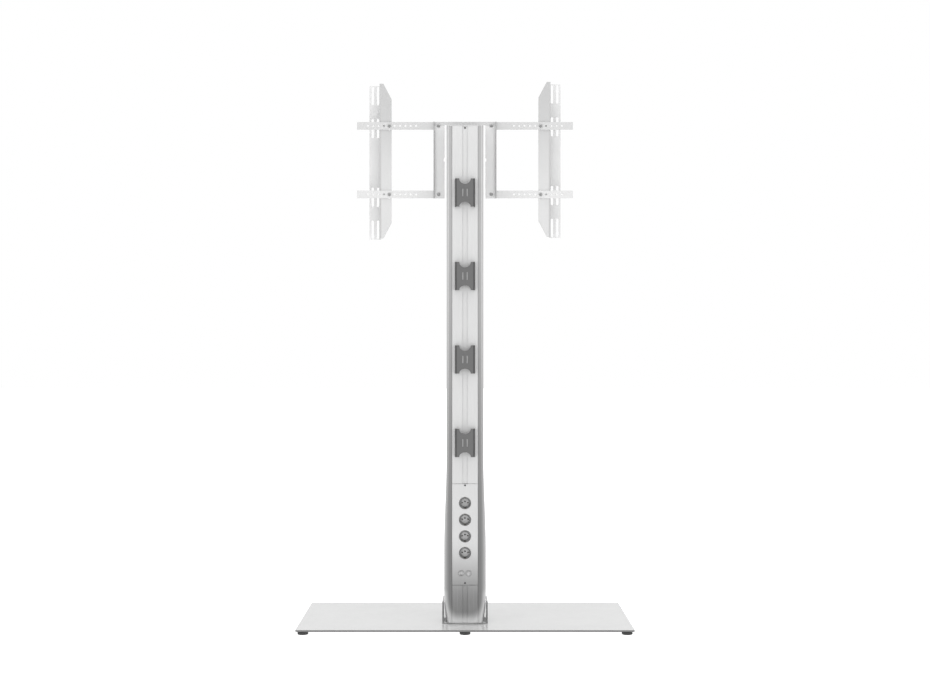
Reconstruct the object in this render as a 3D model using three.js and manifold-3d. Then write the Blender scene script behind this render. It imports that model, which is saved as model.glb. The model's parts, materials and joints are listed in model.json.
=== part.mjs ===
// Floor stand for a flat display: a base plate on feet, a powered cable column, and a slotted bracket.
// Millimetres, +Z up. The origin is on the floor under the middle of the base plate.
// -Y is the rear, where the cable clips and the sockets are; +Y is the side the display hangs on.

import * as THREE from 'three';
import { mergeVertices } from 'three/addons/utils/BufferGeometryUtils.js';
import Module from 'manifold-3d';

const wasm = await Module();
wasm.setup();

// ---------------------------------------------------------------- driving dimensions

const GAP = 0.3;                 // left between two pieces that touch

const BASE_WIDTH = 1100;
const BASE_DEPTH = 500;
const BASE_THICK = 6;
const BASE_CORNER = 6;
const FOOT_RADIUS = 18;
const FOOT_HEIGHT = 12;
const FOOT_INSET = 23;           // foot centre to the plate's edge
const FOOT_STUD = 2.5;
const FOOT_SIDES = 12;
const STUD_BITE = 4.4;           // how far a foot's thread enters the plate

// Heights from here on are measured from the base plate's top face.
const COLUMN_HEIGHT = 1650;
const COLUMN_REAR = -150;
const COLUMN_FRONT = -40;
const COLUMN_HALF = 61;          // half width of the straight upper column
const FLARE_HALF = 69.6;         // half width of the flared foot
const FLARE_TOP = 560;
const FLARE_FULL = 240;
const TUCK_TOP = 113;            // below this the covers draw in again
const TUCK_HALF = 62;
const COVER_WALL = 2.5;
const COVER_RETURN = 8;

const PANEL_HALF = 42.5;
const PANEL_THICK = 3;
const SEAM = 1;
const SOCKET_PANEL_LOW = 129;
const SOCKET_PANEL_HIGH = 464;
const GROOVE_HALF = 9;           // dovetail mouth of the clip groove
const GROOVE_UNDERCUT = 1.5;
const GROOVE_DEPTH = 3;
const GROOVE_BACKING = 16;

const CORE_HALF = 43;
const CORE_WALL = 3;
const CORE_WEB_REAR = -101;
const CORE_WEB_FRONT = -97;
const TSLOT_MOUTH = 5;
const TSLOT_HALF = 10;
const TSLOT_DEPTH = 9.7;
const TSLOT_BLOCK = 14;

const SHOE_HALF = 75.5;
const SHOE_CHEEK = 5;
const SHOE_CHEEK_HEIGHT = 78;
const SHOE_FLOOR = 4;
const SHOE_REAR = -137;
const SHOE_BOW = 15.5;           // how far the shoe's rear edge bows out in the middle
const SHOE_FRONT = -47;

const COLUMN_BOLT_X = 33;
const COLUMN_BOLT_Y = [-90, -54];
const COLUMN_BOLT_RADIUS = 4;
const COLUMN_BOLT_TIP = 40;      // how far a column bolt reaches up its screw channel
const BOLT_CLEARANCE = 0.5;

const CLIP_HEIGHTS = [1425, 1150, 875, 600];
const CLIP_WIDTH = 66;
const CLIP_TALL = 93;
const CLIP_STANDOFF = 17.5;
const CLIP_WALL = 2.5;
const CLIP_NOTCH = [18.8, 17];   // half width and depth of the finger notches
const CLIP_CORNER = 4.5;
const CLIP_NECK = 4;
const CLIP_POST_HALF = 26;
const CLIP_SLIT = { x: 7.2, half: 1.6, reach: 12.5 };

const SOCKET_HEIGHTS = [400, 345, 290, 235];
const SOCKET_MOUTH = 19.5;
const SOCKET_FLOOR = 17.2;
const SOCKET_DEPTH = 17.5;
const SOCKET_BODY = 20;
const SOCKET_BACK = -121;
const SOCKET_RIM = { radius: 23.5, thick: 2 };
const PIN_SPACING = 19;
const PIN_HOLE = 2.6;
const SLEEVE_POCKET = 3.8;
const SLEEVE_OUTER = 3.4;
const SLEEVE_BORE = 2.4;
const SLEEVE_LEAD = 4;           // from the recess floor to the sleeves' pockets
const EARTH_NOTCH = { half: 2.8, inner: 15.5, outer: 19 };
const EARTH_PRONG = { half: 2, thick: 1.2, reach: 17.6 };
const BAR_HALF = 3;
const BAR_THICK = 1.2;
const BAR_OVERHANG = 25;
const TRAY_HALF = 34;
const TRAY_WALL = 3;
const POST_HALF = [7, 4.5];      // half width and half height of a screw post
const CONTROL_HEIGHT = 168;
const ROCKER_X = -12.5;
const BUTTON_X = 11.5;
const BEZEL_RADIUS = 10.2;
const BUTTON_RADIUS = 5.8;
const BUTTON_PROUD = 4;          // how far the button stands out of the panel
const BUTTON_LENGTH = 14;
const ROCKER_WINDOW = [4, 6.8];  // half width and half height
const CONTROL_BODY = 8.8;        // radius of the bezels behind the panel
const CONTROL_DEPTH = 20;
const BEZEL_PROUD = 1.3;
const ROCKER_WIDE = 7;
const ROCKER_POCKET = 12;
const ROCKER_TILT = 8;           // degrees each side of level
const ROCKER_PIVOT_Y = -145;
const PANEL_SCREWS = [1641, 459, 136];
const PANEL_SCREW_RADIUS = 1.5;
const INLET_HEIGHT = 62;
const INLET_FLANGE = [17.5, 13.5];
const INLET_BODY = [14, 10.5];
const INLET_RECESS = [11, 7.5];
const INLET_DEPTH = 26;
const INLET_RECESS_DEPTH = 16;
const INLET_BLADE = { half: [1, 2], long: 11 };
const INLET_BLADES = [[-6, -2], [0, 2], [6, -2]];

const FRONT_COVER_TOP = 1395;

const BRACKET_MIDDLE = 1546.5;
const RAIL_SPACING = 231;
const RAIL_WIDTH = 26;
const RAIL_THICK = 3;
const RAIL_INNER = 72;
const RAIL_OUTER = 364;
const RAIL_FIRST_HOLE = 165;
const RAIL_PITCH = 18;
const RAIL_HOLES = 10;
const RAIL_BOLT_X = 89;
const YOKE_SHEET = 3;
const YOKE_REAR = -62;
const YOKE_FRONT = -12;
const YOKE_TOP = 1675;
const YOKE_STRIP = 11;           // depth of the strip that joins the uprights over the column
const YOKE_FLANGE_HALF = 70;
const UPRIGHT_INNER = 69;
const UPRIGHT_OUTER = 106;
const UPRIGHT_LOW = 1417;
const TONGUE_HALF = 38;
const TONGUE_LOW = 1432;
const YOKE_LIP = 8;
const CLAMP_HEIGHTS = [1460, 1520, 1580];
const CLAMP_BAR_OVERHANG = 12;

const ARM_TALL = 523;
const ARM_OFFSETS = { left: -3, right: 3 };
const ARM_EDGE = 247.5;          // free edge of the near flange
const ARM_WEB = 286;
const ARM_OUTER = 325.5;
const ARM_SHEET = 2.5;
const ARM_FRONT = -8;
const ARM_CHAMFER = [28, 53];
const ARM_BOLT_X = RAIL_FIRST_HOLE + 5 * RAIL_PITCH;
const ARM_SLOT_REACH = 8;        // how far a bolt may sit from the middle of the arm's short slot
const DISPLAY_SLOT_X = [296.3, 314.4];
const DISPLAY_SLOT_WIDTH = 8.5;
const DISPLAY_SLOTS = [[84, 150], [196, 259]];

const M6 = 3;
const BOLT_HEAD = 5.8;
const BOLT_HEAD_HEIGHT = 3.6;
const NUT_RADIUS = 5.6;
const NUT_HEIGHT = 5;
const HOLE_SIDES = 8;
const ROUND_SIDES = 16;

// ---------------------------------------------------------------- finishes

const FINISHES = {
  plate: { color: 0xdfe1e3, roughness: 0.22, metalness: 0.1 },
  bracket: { color: 0xdcdddf, roughness: 0.45, metalness: 0.2 },
  aluminium: { color: 0xb4b6b8, roughness: 0.35, metalness: 0.9 },
  panel: { color: 0xdededf, roughness: 0.4, metalness: 0.5 },
  socket: { color: 0xa8a9ab, roughness: 0.5, metalness: 0 },
  clip: { color: 0x6b6c6e, roughness: 0.55, metalness: 0 },
  dark: { color: 0x3a3b3d, roughness: 0.6, metalness: 0 },
  rubber: { color: 0x2c2d2e, roughness: 0.85, metalness: 0 },
  steel: { color: 0x9a9c9f, roughness: 0.35, metalness: 1 },
  brass: { color: 0xc2a35a, roughness: 0.3, metalness: 1 },
};

const stand = new THREE.Group();
const onBase = new THREE.Group();
onBase.position.z = FOOT_HEIGHT + BASE_THICK;
stand.add(onBase);

function place(name, geometry, finish, parent = onBase) {
  const mesh = new THREE.Mesh(geometry, new THREE.MeshStandardMaterial(FINISHES[finish]));
  mesh.name = name;
  parent.add(mesh);
  return mesh;
}

// ---------------------------------------------------------------- solids and booleans

function toSolid(geometry) {
  const bare = geometry.clone();
  bare.deleteAttribute('normal');
  bare.deleteAttribute('uv');
  const merged = mergeVertices(bare, 1e-4);
  return new wasm.Manifold(new wasm.Mesh({
    numProp: 3,
    vertProperties: Float32Array.from(merged.attributes.position.array),
    triVerts: Uint32Array.from(merged.index.array),
  }));
}

function toGeometry(solid) {
  const mesh = solid.getMesh();
  const geometry = new THREE.BufferGeometry();
  geometry.setAttribute('position', new THREE.BufferAttribute(Float32Array.from(mesh.vertProperties), 3));
  geometry.setIndex(new THREE.BufferAttribute(Uint32Array.from(mesh.triVerts), 1));
  geometry.computeVertexNormals();
  return geometry;
}

function join(...geometries) {
  return toGeometry(geometries.map(toSolid).reduce((whole, next) => whole.add(next)));
}

function cut(body, ...tools) {
  return toGeometry(tools.map(toSolid).reduce((rest, tool) => rest.subtract(tool), toSolid(body)));
}

function block(x0, x1, y0, y1, z0, z1) {
  const geometry = new THREE.BoxGeometry(x1 - x0, y1 - y0, z1 - z0);
  return geometry.translate((x0 + x1) / 2, (y0 + y1) / 2, (z0 + z1) / 2);
}

function outline(points) {
  return new THREE.Shape(points.map(([x, y]) => new THREE.Vector2(x, y)));
}

// A prism that stands up: the outline is in X and Y, and it fills z0 to z1.
function prism(shape, z0, z1) {
  const geometry = new THREE.ExtrudeGeometry(shape, { depth: z1 - z0, bevelEnabled: false, curveSegments: 4 });
  return geometry.translate(0, 0, z0);
}

// An upright sheet: the outline is in X and Z, and it fills y0 to y1.
function sheet(shape, y0, y1) {
  const geometry = new THREE.ExtrudeGeometry(shape, { depth: y1 - y0, bevelEnabled: false, curveSegments: 6 });
  return geometry.rotateX(Math.PI / 2).translate(0, y1, 0);
}

// A pin along Y, from y0 to y1.
function pinY(radius, x, z, y0, y1, sides = HOLE_SIDES) {
  const geometry = new THREE.CylinderGeometry(radius, radius, y1 - y0, sides);
  return geometry.translate(x, (y0 + y1) / 2, z);
}

// A pin along Z, from z0 to z1, with its own radius at each end.
function pinZ(lowRadius, highRadius, x, y, z0, z1, sides = HOLE_SIDES) {
  const geometry = new THREE.CylinderGeometry(highRadius, lowRadius, z1 - z0, sides);
  return geometry.rotateX(Math.PI / 2).translate(x, y, (z0 + z1) / 2);
}

// A solid turned round an axis along Y through (x, z). Profile pairs are radius and y.
function turnedY(profile, x, z, sides) {
  const geometry = new THREE.LatheGeometry(profile.map(([r, y]) => new THREE.Vector2(r, y)), sides);
  return geometry.translate(x, 0, z);
}

function mirrored(geometry) {
  const flipped = (geometry.index ? geometry.toNonIndexed() : geometry.clone()).scale(-1, 1, 1);
  const position = flipped.attributes.position;
  for (let i = 0; i < position.count; i += 3) {
    const [x, y, z] = [position.getX(i), position.getY(i), position.getZ(i)];
    position.setXYZ(i, position.getX(i + 2), position.getY(i + 2), position.getZ(i + 2));
    position.setXYZ(i + 2, x, y, z);
  }
  flipped.computeVertexNormals();
  return flipped;
}

// A solid through a stack of level sections, each a counter-clockwise list of the same number of points.
function loft(levels) {
  const count = levels[0].points.length;
  const corners = levels.flatMap(({ z, points }) => points.flatMap(([x, y]) => [x, y, z]));
  const faces = [];
  for (let level = 0; level + 1 < levels.length; level += 1) {
    for (let i = 0; i < count; i += 1) {
      const a = level * count + i;
      const b = level * count + (i + 1) % count;
      faces.push(a, b, b + count, a, b + count, a + count);
    }
  }
  for (const [level, turn] of [[0, -1], [levels.length - 1, 1]]) {
    const ring = levels[level].points.map(([x, y]) => new THREE.Vector2(x, y));
    for (const [a, b, c] of THREE.ShapeUtils.triangulateShape(ring, [])) {
      const face = turn > 0 ? [a, b, c] : [c, b, a];
      faces.push(...face.map((corner) => corner + level * count));
    }
  }
  const geometry = new THREE.BufferGeometry();
  geometry.setAttribute('position', new THREE.BufferAttribute(Float32Array.from(corners), 3));
  geometry.setIndex(faces);
  geometry.computeVertexNormals();
  return geometry;
}

function arc(centre, radii, from, to, steps) {
  return Array.from({ length: steps + 1 }, (_, i) => {
    const angle = THREE.MathUtils.degToRad(from + (to - from) * i / steps);
    return [centre[0] + radii[0] * Math.cos(angle), centre[1] + radii[1] * Math.sin(angle)];
  });
}

// ---------------------------------------------------------------- fasteners

// A socket-head screw along Y. Its head is on the -Y side of headY, and its shank runs to tipY.
function screwY(x, z, headY, tipY, radius = M6, head = BOLT_HEAD, headHeight = BOLT_HEAD_HEIGHT) {
  const body = turnedY([
    [0, headY - headHeight], [head * 0.85, headY - headHeight], [head, headY - headHeight * 0.7],
    [head, headY], [radius, headY], [radius, tipY], [0, tipY],
  ], x, z, HOLE_SIDES);
  const key = pinY(head * 0.5, x, z, headY - headHeight - 1, headY - headHeight * 0.45, 6);
  return cut(body, key);
}

// ---------------------------------------------------------------- base

const footPlaces = [
  ['rear_left', -1, -1], ['rear_middle', 0, -1], ['rear_right', 1, -1],
  ['front_left', -1, 1], ['front_middle', 0, 1], ['front_right', 1, 1],
].map(([label, sideX, sideY]) => ({
  label,
  x: sideX * (BASE_WIDTH / 2 - FOOT_INSET),
  y: sideY * (BASE_DEPTH / 2 - FOOT_INSET),
}));

const columnBolts = [-COLUMN_BOLT_X, COLUMN_BOLT_X].flatMap((x) => COLUMN_BOLT_Y.map((y) => [x, y]));

function roundedPlate(halfX, halfY, corner) {
  const shape = new THREE.Shape();
  shape.moveTo(-halfX + corner, -halfY);
  shape.lineTo(halfX - corner, -halfY);
  shape.absarc(halfX - corner, -halfY + corner, corner, -Math.PI / 2, 0);
  shape.absarc(halfX - corner, halfY - corner, corner, 0, Math.PI / 2);
  shape.absarc(-halfX + corner, halfY - corner, corner, Math.PI / 2, Math.PI);
  shape.absarc(-halfX + corner, -halfY + corner, corner, Math.PI, 1.5 * Math.PI);
  return shape;
}

function basePlate() {
  const plate = prism(roundedPlate(BASE_WIDTH / 2, BASE_DEPTH / 2, BASE_CORNER), -BASE_THICK, 0);
  const hole = COLUMN_BOLT_RADIUS + BOLT_CLEARANCE;
  const under = -BASE_THICK - 1;
  const bolts = columnBolts.flatMap(([x, y]) => [
    pinZ(hole, hole, x, y, under, 1),
    pinZ(COLUMN_BOLT_RADIUS * 2 + 1.5, hole, x, y, under, -BASE_THICK + 4.5),
  ]);
  const tap = FOOT_STUD + 0.6;
  const taps = footPlaces.map(({ x, y }) => pinZ(tap, tap, x, y, under, -1.2));
  return cut(plate, ...bolts, ...taps);
}

// A rubber pad with its screw's head in a recess underneath and the thread standing out on top.
function foot({ x, y }) {
  const profile = [
    [0, 4], [5, 4], [5, 6.5], [6, 6.5], [6, 0], [FOOT_RADIUS - 1, 0], [FOOT_RADIUS, 1.2], [FOOT_RADIUS, 8.5],
    [FOOT_RADIUS - 2, 9.5], [FOOT_RADIUS - 2, FOOT_HEIGHT - GAP], [FOOT_STUD, FOOT_HEIGHT - GAP],
    [FOOT_STUD, FOOT_HEIGHT + STUD_BITE], [0, FOOT_HEIGHT + STUD_BITE],
  ];
  const pad = new THREE.LatheGeometry(profile.map(([r, h]) => new THREE.Vector2(r, h)), FOOT_SIDES);
  return pad.rotateX(Math.PI / 2).translate(x, y, 0);
}

function shoeFloor() {
  const rise = SHOE_BOW;
  const radius = (SHOE_HALF ** 2 + rise ** 2) / (2 * rise);
  const reach = THREE.MathUtils.radToDeg(Math.asin(SHOE_HALF / radius));
  const rear = arc([0, SHOE_REAR - rise + radius], [radius, radius], -90 - reach, -90 + reach, 8);
  return prism(outline([...rear, [SHOE_HALF, SHOE_FRONT], [-SHOE_HALF, SHOE_FRONT]]), GAP, SHOE_FLOOR);
}

function shoeCheek() {
  const corner = 12;
  const rear = arc([SHOE_REAR + corner, SHOE_CHEEK_HEIGHT - corner], [corner, corner], 180, 90, 4);
  const front = arc([SHOE_FRONT - corner, SHOE_CHEEK_HEIGHT - corner], [corner, corner], 90, 0, 4);
  const profile = outline([[SHOE_REAR, GAP], ...rear, ...front, [SHOE_FRONT, GAP]].reverse());
  const geometry = new THREE.ExtrudeGeometry(profile, { depth: SHOE_CHEEK, bevelEnabled: false });
  const turn = new THREE.Matrix4().makeBasis(
    new THREE.Vector3(0, 1, 0), new THREE.Vector3(0, 0, 1), new THREE.Vector3(1, 0, 0),
  );
  return geometry.applyMatrix4(turn).translate(SHOE_HALF - SHOE_CHEEK, 0, 0);
}

function shoe() {
  const welded = join(shoeFloor(), shoeCheek(), mirrored(shoeCheek()));
  const radius = COLUMN_BOLT_RADIUS + BOLT_CLEARANCE;
  return cut(welded, ...columnBolts.map(([x, y]) => pinZ(radius, radius, x, y, -1, SHOE_FLOOR + 1)));
}

function columnBolt([x, y]) {
  const low = -BASE_THICK;
  return join(
    pinZ(COLUMN_BOLT_RADIUS * 2, COLUMN_BOLT_RADIUS, x, y, low + 0.4, low + 4),
    pinZ(COLUMN_BOLT_RADIUS, COLUMN_BOLT_RADIUS, x, y, low + 3.5, COLUMN_BOLT_TIP),
  );
}

place('base_plate', basePlate(), 'plate');
for (const spot of footPlaces) place(`foot_${spot.label}`, foot(spot), 'rubber', stand);
place('column_shoe', shoe(), 'bracket');
columnBolts.forEach((spot, i) => place(`column_bolt_${i + 1}`, columnBolt(spot), 'steel'));

// ---------------------------------------------------------------- column

const COLUMN_LOW = SHOE_FLOOR + GAP;
const PANEL_TOP = COLUMN_HEIGHT - 3;
const CORE_REAR = COLUMN_REAR + PANEL_THICK + GAP;
const CORE_FRONT = COLUMN_FRONT - PANEL_THICK - GAP;

// The extrusion: an open cable duct at the rear, a stiff box with four screw channels in front of it,
// and a T-slot down the front face.
function coreSection() {
  const lip = 7;
  const inner = CORE_HALF - CORE_WALL;
  const undercut = CORE_FRONT - 3;
  const right = [
    [CORE_HALF - lip, CORE_REAR], [CORE_HALF, CORE_REAR], [CORE_HALF, CORE_FRONT],
    [TSLOT_MOUTH, CORE_FRONT], [TSLOT_MOUTH, undercut], [TSLOT_HALF, undercut],
    [TSLOT_HALF, CORE_FRONT - TSLOT_DEPTH],
  ];
  const duct = [
    [inner, CORE_WEB_REAR], [inner, CORE_REAR + CORE_WALL], [CORE_HALF - lip, CORE_REAR + CORE_WALL],
  ];
  const flip = (points) => points.map(([x, y]) => [-x, y]).reverse();
  const section = outline([...right, ...flip(right), ...flip(duct), ...duct]);

  const boss = 14;
  const front = CORE_FRONT - CORE_WALL;
  const half = [
    [inner - boss, CORE_WEB_FRONT], [inner - boss, CORE_WEB_FRONT + boss], [inner, CORE_WEB_FRONT + boss],
    [inner, front - boss], [inner - boss, front - boss], [inner - boss, front],
    [TSLOT_BLOCK, front], [TSLOT_BLOCK, CORE_FRONT - TSLOT_DEPTH - CORE_WALL],
  ];
  section.holes.push(outline([...half, ...flip(half)]));
  for (const [x, y] of columnBolts) {
    const channel = new THREE.Path();
    channel.absarc(x, y, COLUMN_BOLT_RADIUS + BOLT_CLEARANCE, 0, 2 * Math.PI);
    section.holes.push(channel);
  }
  return section;
}

// Clears the inlet's body by the given margin, in the core and in the front cover.
function inletWindow(margin) {
  const [x, z] = INLET_BODY.map((half) => half + margin);
  return block(-x, x, COLUMN_FRONT - 20, COLUMN_FRONT + 1, INLET_HEIGHT - z, INLET_HEIGHT + z);
}

function columnCore() {
  const core = prism(coreSection(), COLUMN_LOW, PANEL_TOP);
  return cut(core, inletWindow(1.5));
}

function ease(t) {
  const s = THREE.MathUtils.clamp(t, 0, 1);
  return s * s * (3 - 2 * s);
}

// Half width of the column at a height: straight, flared, then drawn in towards the base.
function halfWidth(height) {
  if (height < TUCK_TOP) {
    return TUCK_HALF + (FLARE_HALF - TUCK_HALF) * Math.sin(Math.PI / 2 * height / TUCK_TOP);
  }
  return COLUMN_HALF + (FLARE_HALF - COLUMN_HALF) * ease((FLARE_TOP - height) / (FLARE_TOP - FLARE_FULL));
}

// The right-hand cover's C-shaped section. Its rear corner grows rounder towards the base.
function coverSection(height) {
  const soften = ease(1 - height / (TUCK_TOP + 20));
  const half = halfWidth(height);
  const cornerX = 10 + 6 * soften;
  const cornerY = 12 + 18 * soften;
  const frontCorner = 12;
  const edge = CORE_HALF + GAP;
  const inside = edge + 2;
  const rearCentre = [half - cornerX, COLUMN_REAR + cornerY];
  const frontCentre = [half - frontCorner, COLUMN_FRONT - frontCorner];
  const thin = (radius) => radius - COVER_WALL;
  return [
    [edge, COLUMN_REAR],
    ...arc(rearCentre, [cornerX, cornerY], -90, 0, 5),
    ...arc(frontCentre, [frontCorner, frontCorner], 0, 90, 3),
    [edge, COLUMN_FRONT], [edge, COLUMN_FRONT - COVER_RETURN], [inside, COLUMN_FRONT - COVER_RETURN],
    [inside, thin(COLUMN_FRONT)],
    ...arc(frontCentre, [thin(frontCorner), thin(frontCorner)], 90, 0, 3),
    ...arc(rearCentre, [thin(cornerX), thin(cornerY)], 0, -90, 4),
    [inside, COLUMN_REAR + COVER_WALL], [inside, COLUMN_REAR + COVER_RETURN],
    [edge, COLUMN_REAR + COVER_RETURN],
  ];
}

function sideCover() {
  const steps = (low, high, count) => Array.from({ length: count }, (_, i) => low + (high - low) * i / count);
  const heights = [
    ...steps(COLUMN_LOW + GAP, TUCK_TOP, 5), TUCK_TOP,
    ...steps(FLARE_FULL, FLARE_TOP, 5), FLARE_TOP, PANEL_TOP,
  ];
  return loft(heights.map((z) => ({ z, points: coverSection(z) })));
}

// The panel section that carries the dovetail groove for the cable clips.
function groovedPanel() {
  const face = COLUMN_REAR;
  const back = face + PANEL_THICK;
  const floor = face + GROOVE_DEPTH;
  const right = [
    [GROOVE_HALF + GROOVE_UNDERCUT, floor], [GROOVE_HALF, face], [PANEL_HALF, face], [PANEL_HALF, back],
    [GROOVE_BACKING, back], [GROOVE_BACKING, floor + PANEL_THICK],
  ];
  return outline([...right, ...right.map(([x, y]) => [-x, y]).reverse()]);
}

function rearPanel() {
  const panel = prism(groovedPanel(), SOCKET_PANEL_HIGH + SEAM / 2, PANEL_TOP);
  return cut(panel, pinY(2, 0, PANEL_SCREWS[0], COLUMN_REAR, COLUMN_REAR + 8));
}

function socketPanel() {
  const face = block(-PANEL_HALF, PANEL_HALF, COLUMN_REAR, COLUMN_REAR + PANEL_THICK,
    SOCKET_PANEL_LOW + SEAM / 2, SOCKET_PANEL_HIGH - SEAM / 2);
  const through = [COLUMN_REAR - 1, COLUMN_REAR + PANEL_THICK + 1];
  return cut(
    face,
    ...SOCKET_HEIGHTS.map((z) => pinY(SOCKET_BODY + 2 * GAP, 0, z, ...through, ROUND_SIDES)),
    ...[ROCKER_X, BUTTON_X].map((x) => pinY(CONTROL_BODY + 0.5, x, CONTROL_HEIGHT, ...through, ROUND_SIDES)),
    ...PANEL_SCREWS.slice(1).map((z) => pinY(2, 0, z, ...through)),
  );
}

function frontCover() {
  const rear = COLUMN_FRONT - PANEL_THICK;
  const cover = block(-PANEL_HALF, PANEL_HALF, rear, COLUMN_FRONT, COLUMN_LOW + GAP, FRONT_COVER_TOP);
  return cut(cover, inletWindow(0.5));
}

function topCap() {
  const right = coverSection(PANEL_TOP).slice(1, 11);
  const left = right.map(([x, y]) => [-x, y]).reverse();
  const lid = prism(outline([...right, ...left]), PANEL_TOP + GAP, COLUMN_HEIGHT);
  const spigotRear = COLUMN_REAR + GROOVE_DEPTH + PANEL_THICK + GAP;
  const spigot = block(-30, 30, spigotRear, CORE_WEB_REAR - GAP, PANEL_SCREWS[0] - 8, PANEL_TOP + 1);
  const screwHole = pinY(PANEL_SCREW_RADIUS + GAP, 0, PANEL_SCREWS[0], spigotRear - 1, spigotRear + 12);
  const half = TONGUE_HALF + 1;
  const tongueGap = block(-half, half, CORE_FRONT - 0.1, 0, PANEL_TOP, COLUMN_HEIGHT + 1);
  return cut(join(lid, spigot), tongueGap, screwHole);
}

// Small round-headed screws on the column's centre line. The top one sits down in the groove.
function panelScrew(z) {
  const seat = COLUMN_REAR + (z > SOCKET_PANEL_HIGH ? GROOVE_DEPTH : 0) - GAP;
  return screwY(0, z, seat, seat + 10, PANEL_SCREW_RADIUS, 3, 1.6);
}

place('column_core', columnCore(), 'aluminium');
place('side_cover_right', sideCover(), 'aluminium');
place('side_cover_left', mirrored(sideCover()), 'aluminium');
place('rear_panel', rearPanel(), 'panel');
place('socket_panel', socketPanel(), 'panel');
place('lower_panel', prism(groovedPanel(), COLUMN_LOW + GAP, SOCKET_PANEL_LOW - SEAM / 2), 'panel');
place('front_cover', frontCover(), 'panel');
place('top_cap', topCap(), 'bracket');
['top', 'middle', 'low'].forEach((label, i) => {
  place(`panel_screw_${label}`, panelScrew(PANEL_SCREWS[i]), 'dark');
});

// ---------------------------------------------------------------- sockets and wiring

const SOCKET_FLOOR_Y = COLUMN_REAR + SOCKET_DEPTH;
const BUSBAR_Y = -112;

// A round recess with two pin holes, and a notch at the top and bottom for the earth contacts.
function socketInsert(z) {
  const rimFront = CORE_REAR + SOCKET_RIM.thick;
  const body = turnedY([
    [0, SOCKET_FLOOR_Y], [SOCKET_FLOOR, SOCKET_FLOOR_Y], [SOCKET_MOUTH, COLUMN_REAR],
    [SOCKET_BODY, COLUMN_REAR], [SOCKET_BODY, CORE_REAR], [SOCKET_RIM.radius, CORE_REAR],
    [SOCKET_RIM.radius, rimFront], [SOCKET_BODY, rimFront], [SOCKET_BODY, SOCKET_BACK], [0, SOCKET_BACK],
  ], 0, z, ROUND_SIDES);
  const pins = [-PIN_SPACING / 2, PIN_SPACING / 2].flatMap((x) => [
    pinY(PIN_HOLE, x, z, SOCKET_FLOOR_Y - 1, SOCKET_BACK + 1),
    pinY(SLEEVE_POCKET, x, z, SOCKET_FLOOR_Y + SLEEVE_LEAD, SOCKET_BACK + 1),
  ]);
  const notches = [1, -1].map((side) => {
    const { half, inner, outer } = EARTH_NOTCH;
    const [low, high] = [z + side * inner, z + side * outer].sort((a, b) => a - b);
    return block(-half, half, COLUMN_REAR + 2, SOCKET_BACK + 1, low, high);
  });
  return cut(body, ...pins, ...notches);
}

// One stamping: a strip behind the sockets with a pair of prongs that reach into each recess.
function earthBar() {
  const { half, thick, reach } = EARTH_PRONG;
  const prongs = SOCKET_HEIGHTS.flatMap((z) => [z + reach, z - reach].map((middle) => (
    block(-half, half, COLUMN_REAR + 3, BUSBAR_Y + 0.5, middle - thick / 2, middle + thick / 2)
  )));
  return join(barAt(0), ...prongs);
}

// A strip with a sleeve behind one pin hole of every socket.
function pinBar(x) {
  const mouth = SOCKET_FLOOR_Y + SLEEVE_LEAD;
  const sleeves = SOCKET_HEIGHTS.map((z) => pinY(SLEEVE_OUTER, x, z, mouth + 0.5, BUSBAR_Y + 0.5));
  const bores = SOCKET_HEIGHTS.map((z) => pinY(SLEEVE_BORE, x, z, mouth, BUSBAR_Y - 0.5));
  return cut(join(barAt(x), ...sleeves), ...bores);
}

function barAt(x) {
  const [low, high] = [SOCKET_HEIGHTS.at(-1) - BAR_OVERHANG, SOCKET_HEIGHTS[0] + BAR_OVERHANG];
  return block(x - BAR_HALF, x + BAR_HALF, BUSBAR_Y, BUSBAR_Y + BAR_THICK, low, high);
}

// The moulding that carries the sockets: a tray for the bars, with a post at each end for a panel screw.
function socketChassis() {
  const posts = PANEL_SCREWS.slice(1);
  const [high, low] = [posts[0] + 8, posts[1] - 8];
  const tray = cut(
    block(-TRAY_HALF, TRAY_HALF, SOCKET_BACK + 1.5, CORE_WEB_REAR - GAP, low, high),
    block(TRAY_WALL - TRAY_HALF, TRAY_HALF - TRAY_WALL, SOCKET_BACK, CORE_WEB_REAR - TRAY_WALL,
      low + TRAY_WALL, high - TRAY_WALL),
  );
  const [postX, postZ] = POST_HALF;
  const bosses = posts.map((z) => block(-postX, postX, CORE_REAR, CORE_WEB_REAR - 2, z - postZ, z + postZ));
  const holes = posts.map((z) => pinY(PANEL_SCREW_RADIUS + GAP, 0, z, CORE_REAR - 1, CORE_REAR + 12));
  return cut(join(tray, ...bosses), ...holes);
}

// A round bezel on the panel's face with a body behind it, and a pocket for the part that moves.
function bezel(x, pocket) {
  const face = COLUMN_REAR - GAP;
  const body = turnedY([
    [0, face - BEZEL_PROUD], [BEZEL_RADIUS - 0.6, face - BEZEL_PROUD], [BEZEL_RADIUS, face - 0.8],
    [BEZEL_RADIUS, face], [CONTROL_BODY, face], [CONTROL_BODY, COLUMN_REAR + CONTROL_DEPTH],
    [0, COLUMN_REAR + CONTROL_DEPTH],
  ], x, CONTROL_HEIGHT, ROUND_SIDES);
  return cut(body, pocket);
}

function rocker() {
  const half = 5.2;
  const profile = [[-8.2, -half], [-6.8, 0], [-8.2, half], [-3, half], [0, 2], [0, -2], [-3, -half]];
  const geometry = new THREE.ExtrudeGeometry(outline(profile), { depth: ROCKER_WIDE, bevelEnabled: false });
  const turn = new THREE.Matrix4().makeBasis(
    new THREE.Vector3(0, 1, 0), new THREE.Vector3(0, 0, 1), new THREE.Vector3(1, 0, 0),
  );
  geometry.applyMatrix4(turn).rotateX(THREE.MathUtils.degToRad(-ROCKER_TILT));
  return geometry.translate(ROCKER_X - ROCKER_WIDE / 2, ROCKER_PIVOT_Y, CONTROL_HEIGHT);
}

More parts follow.
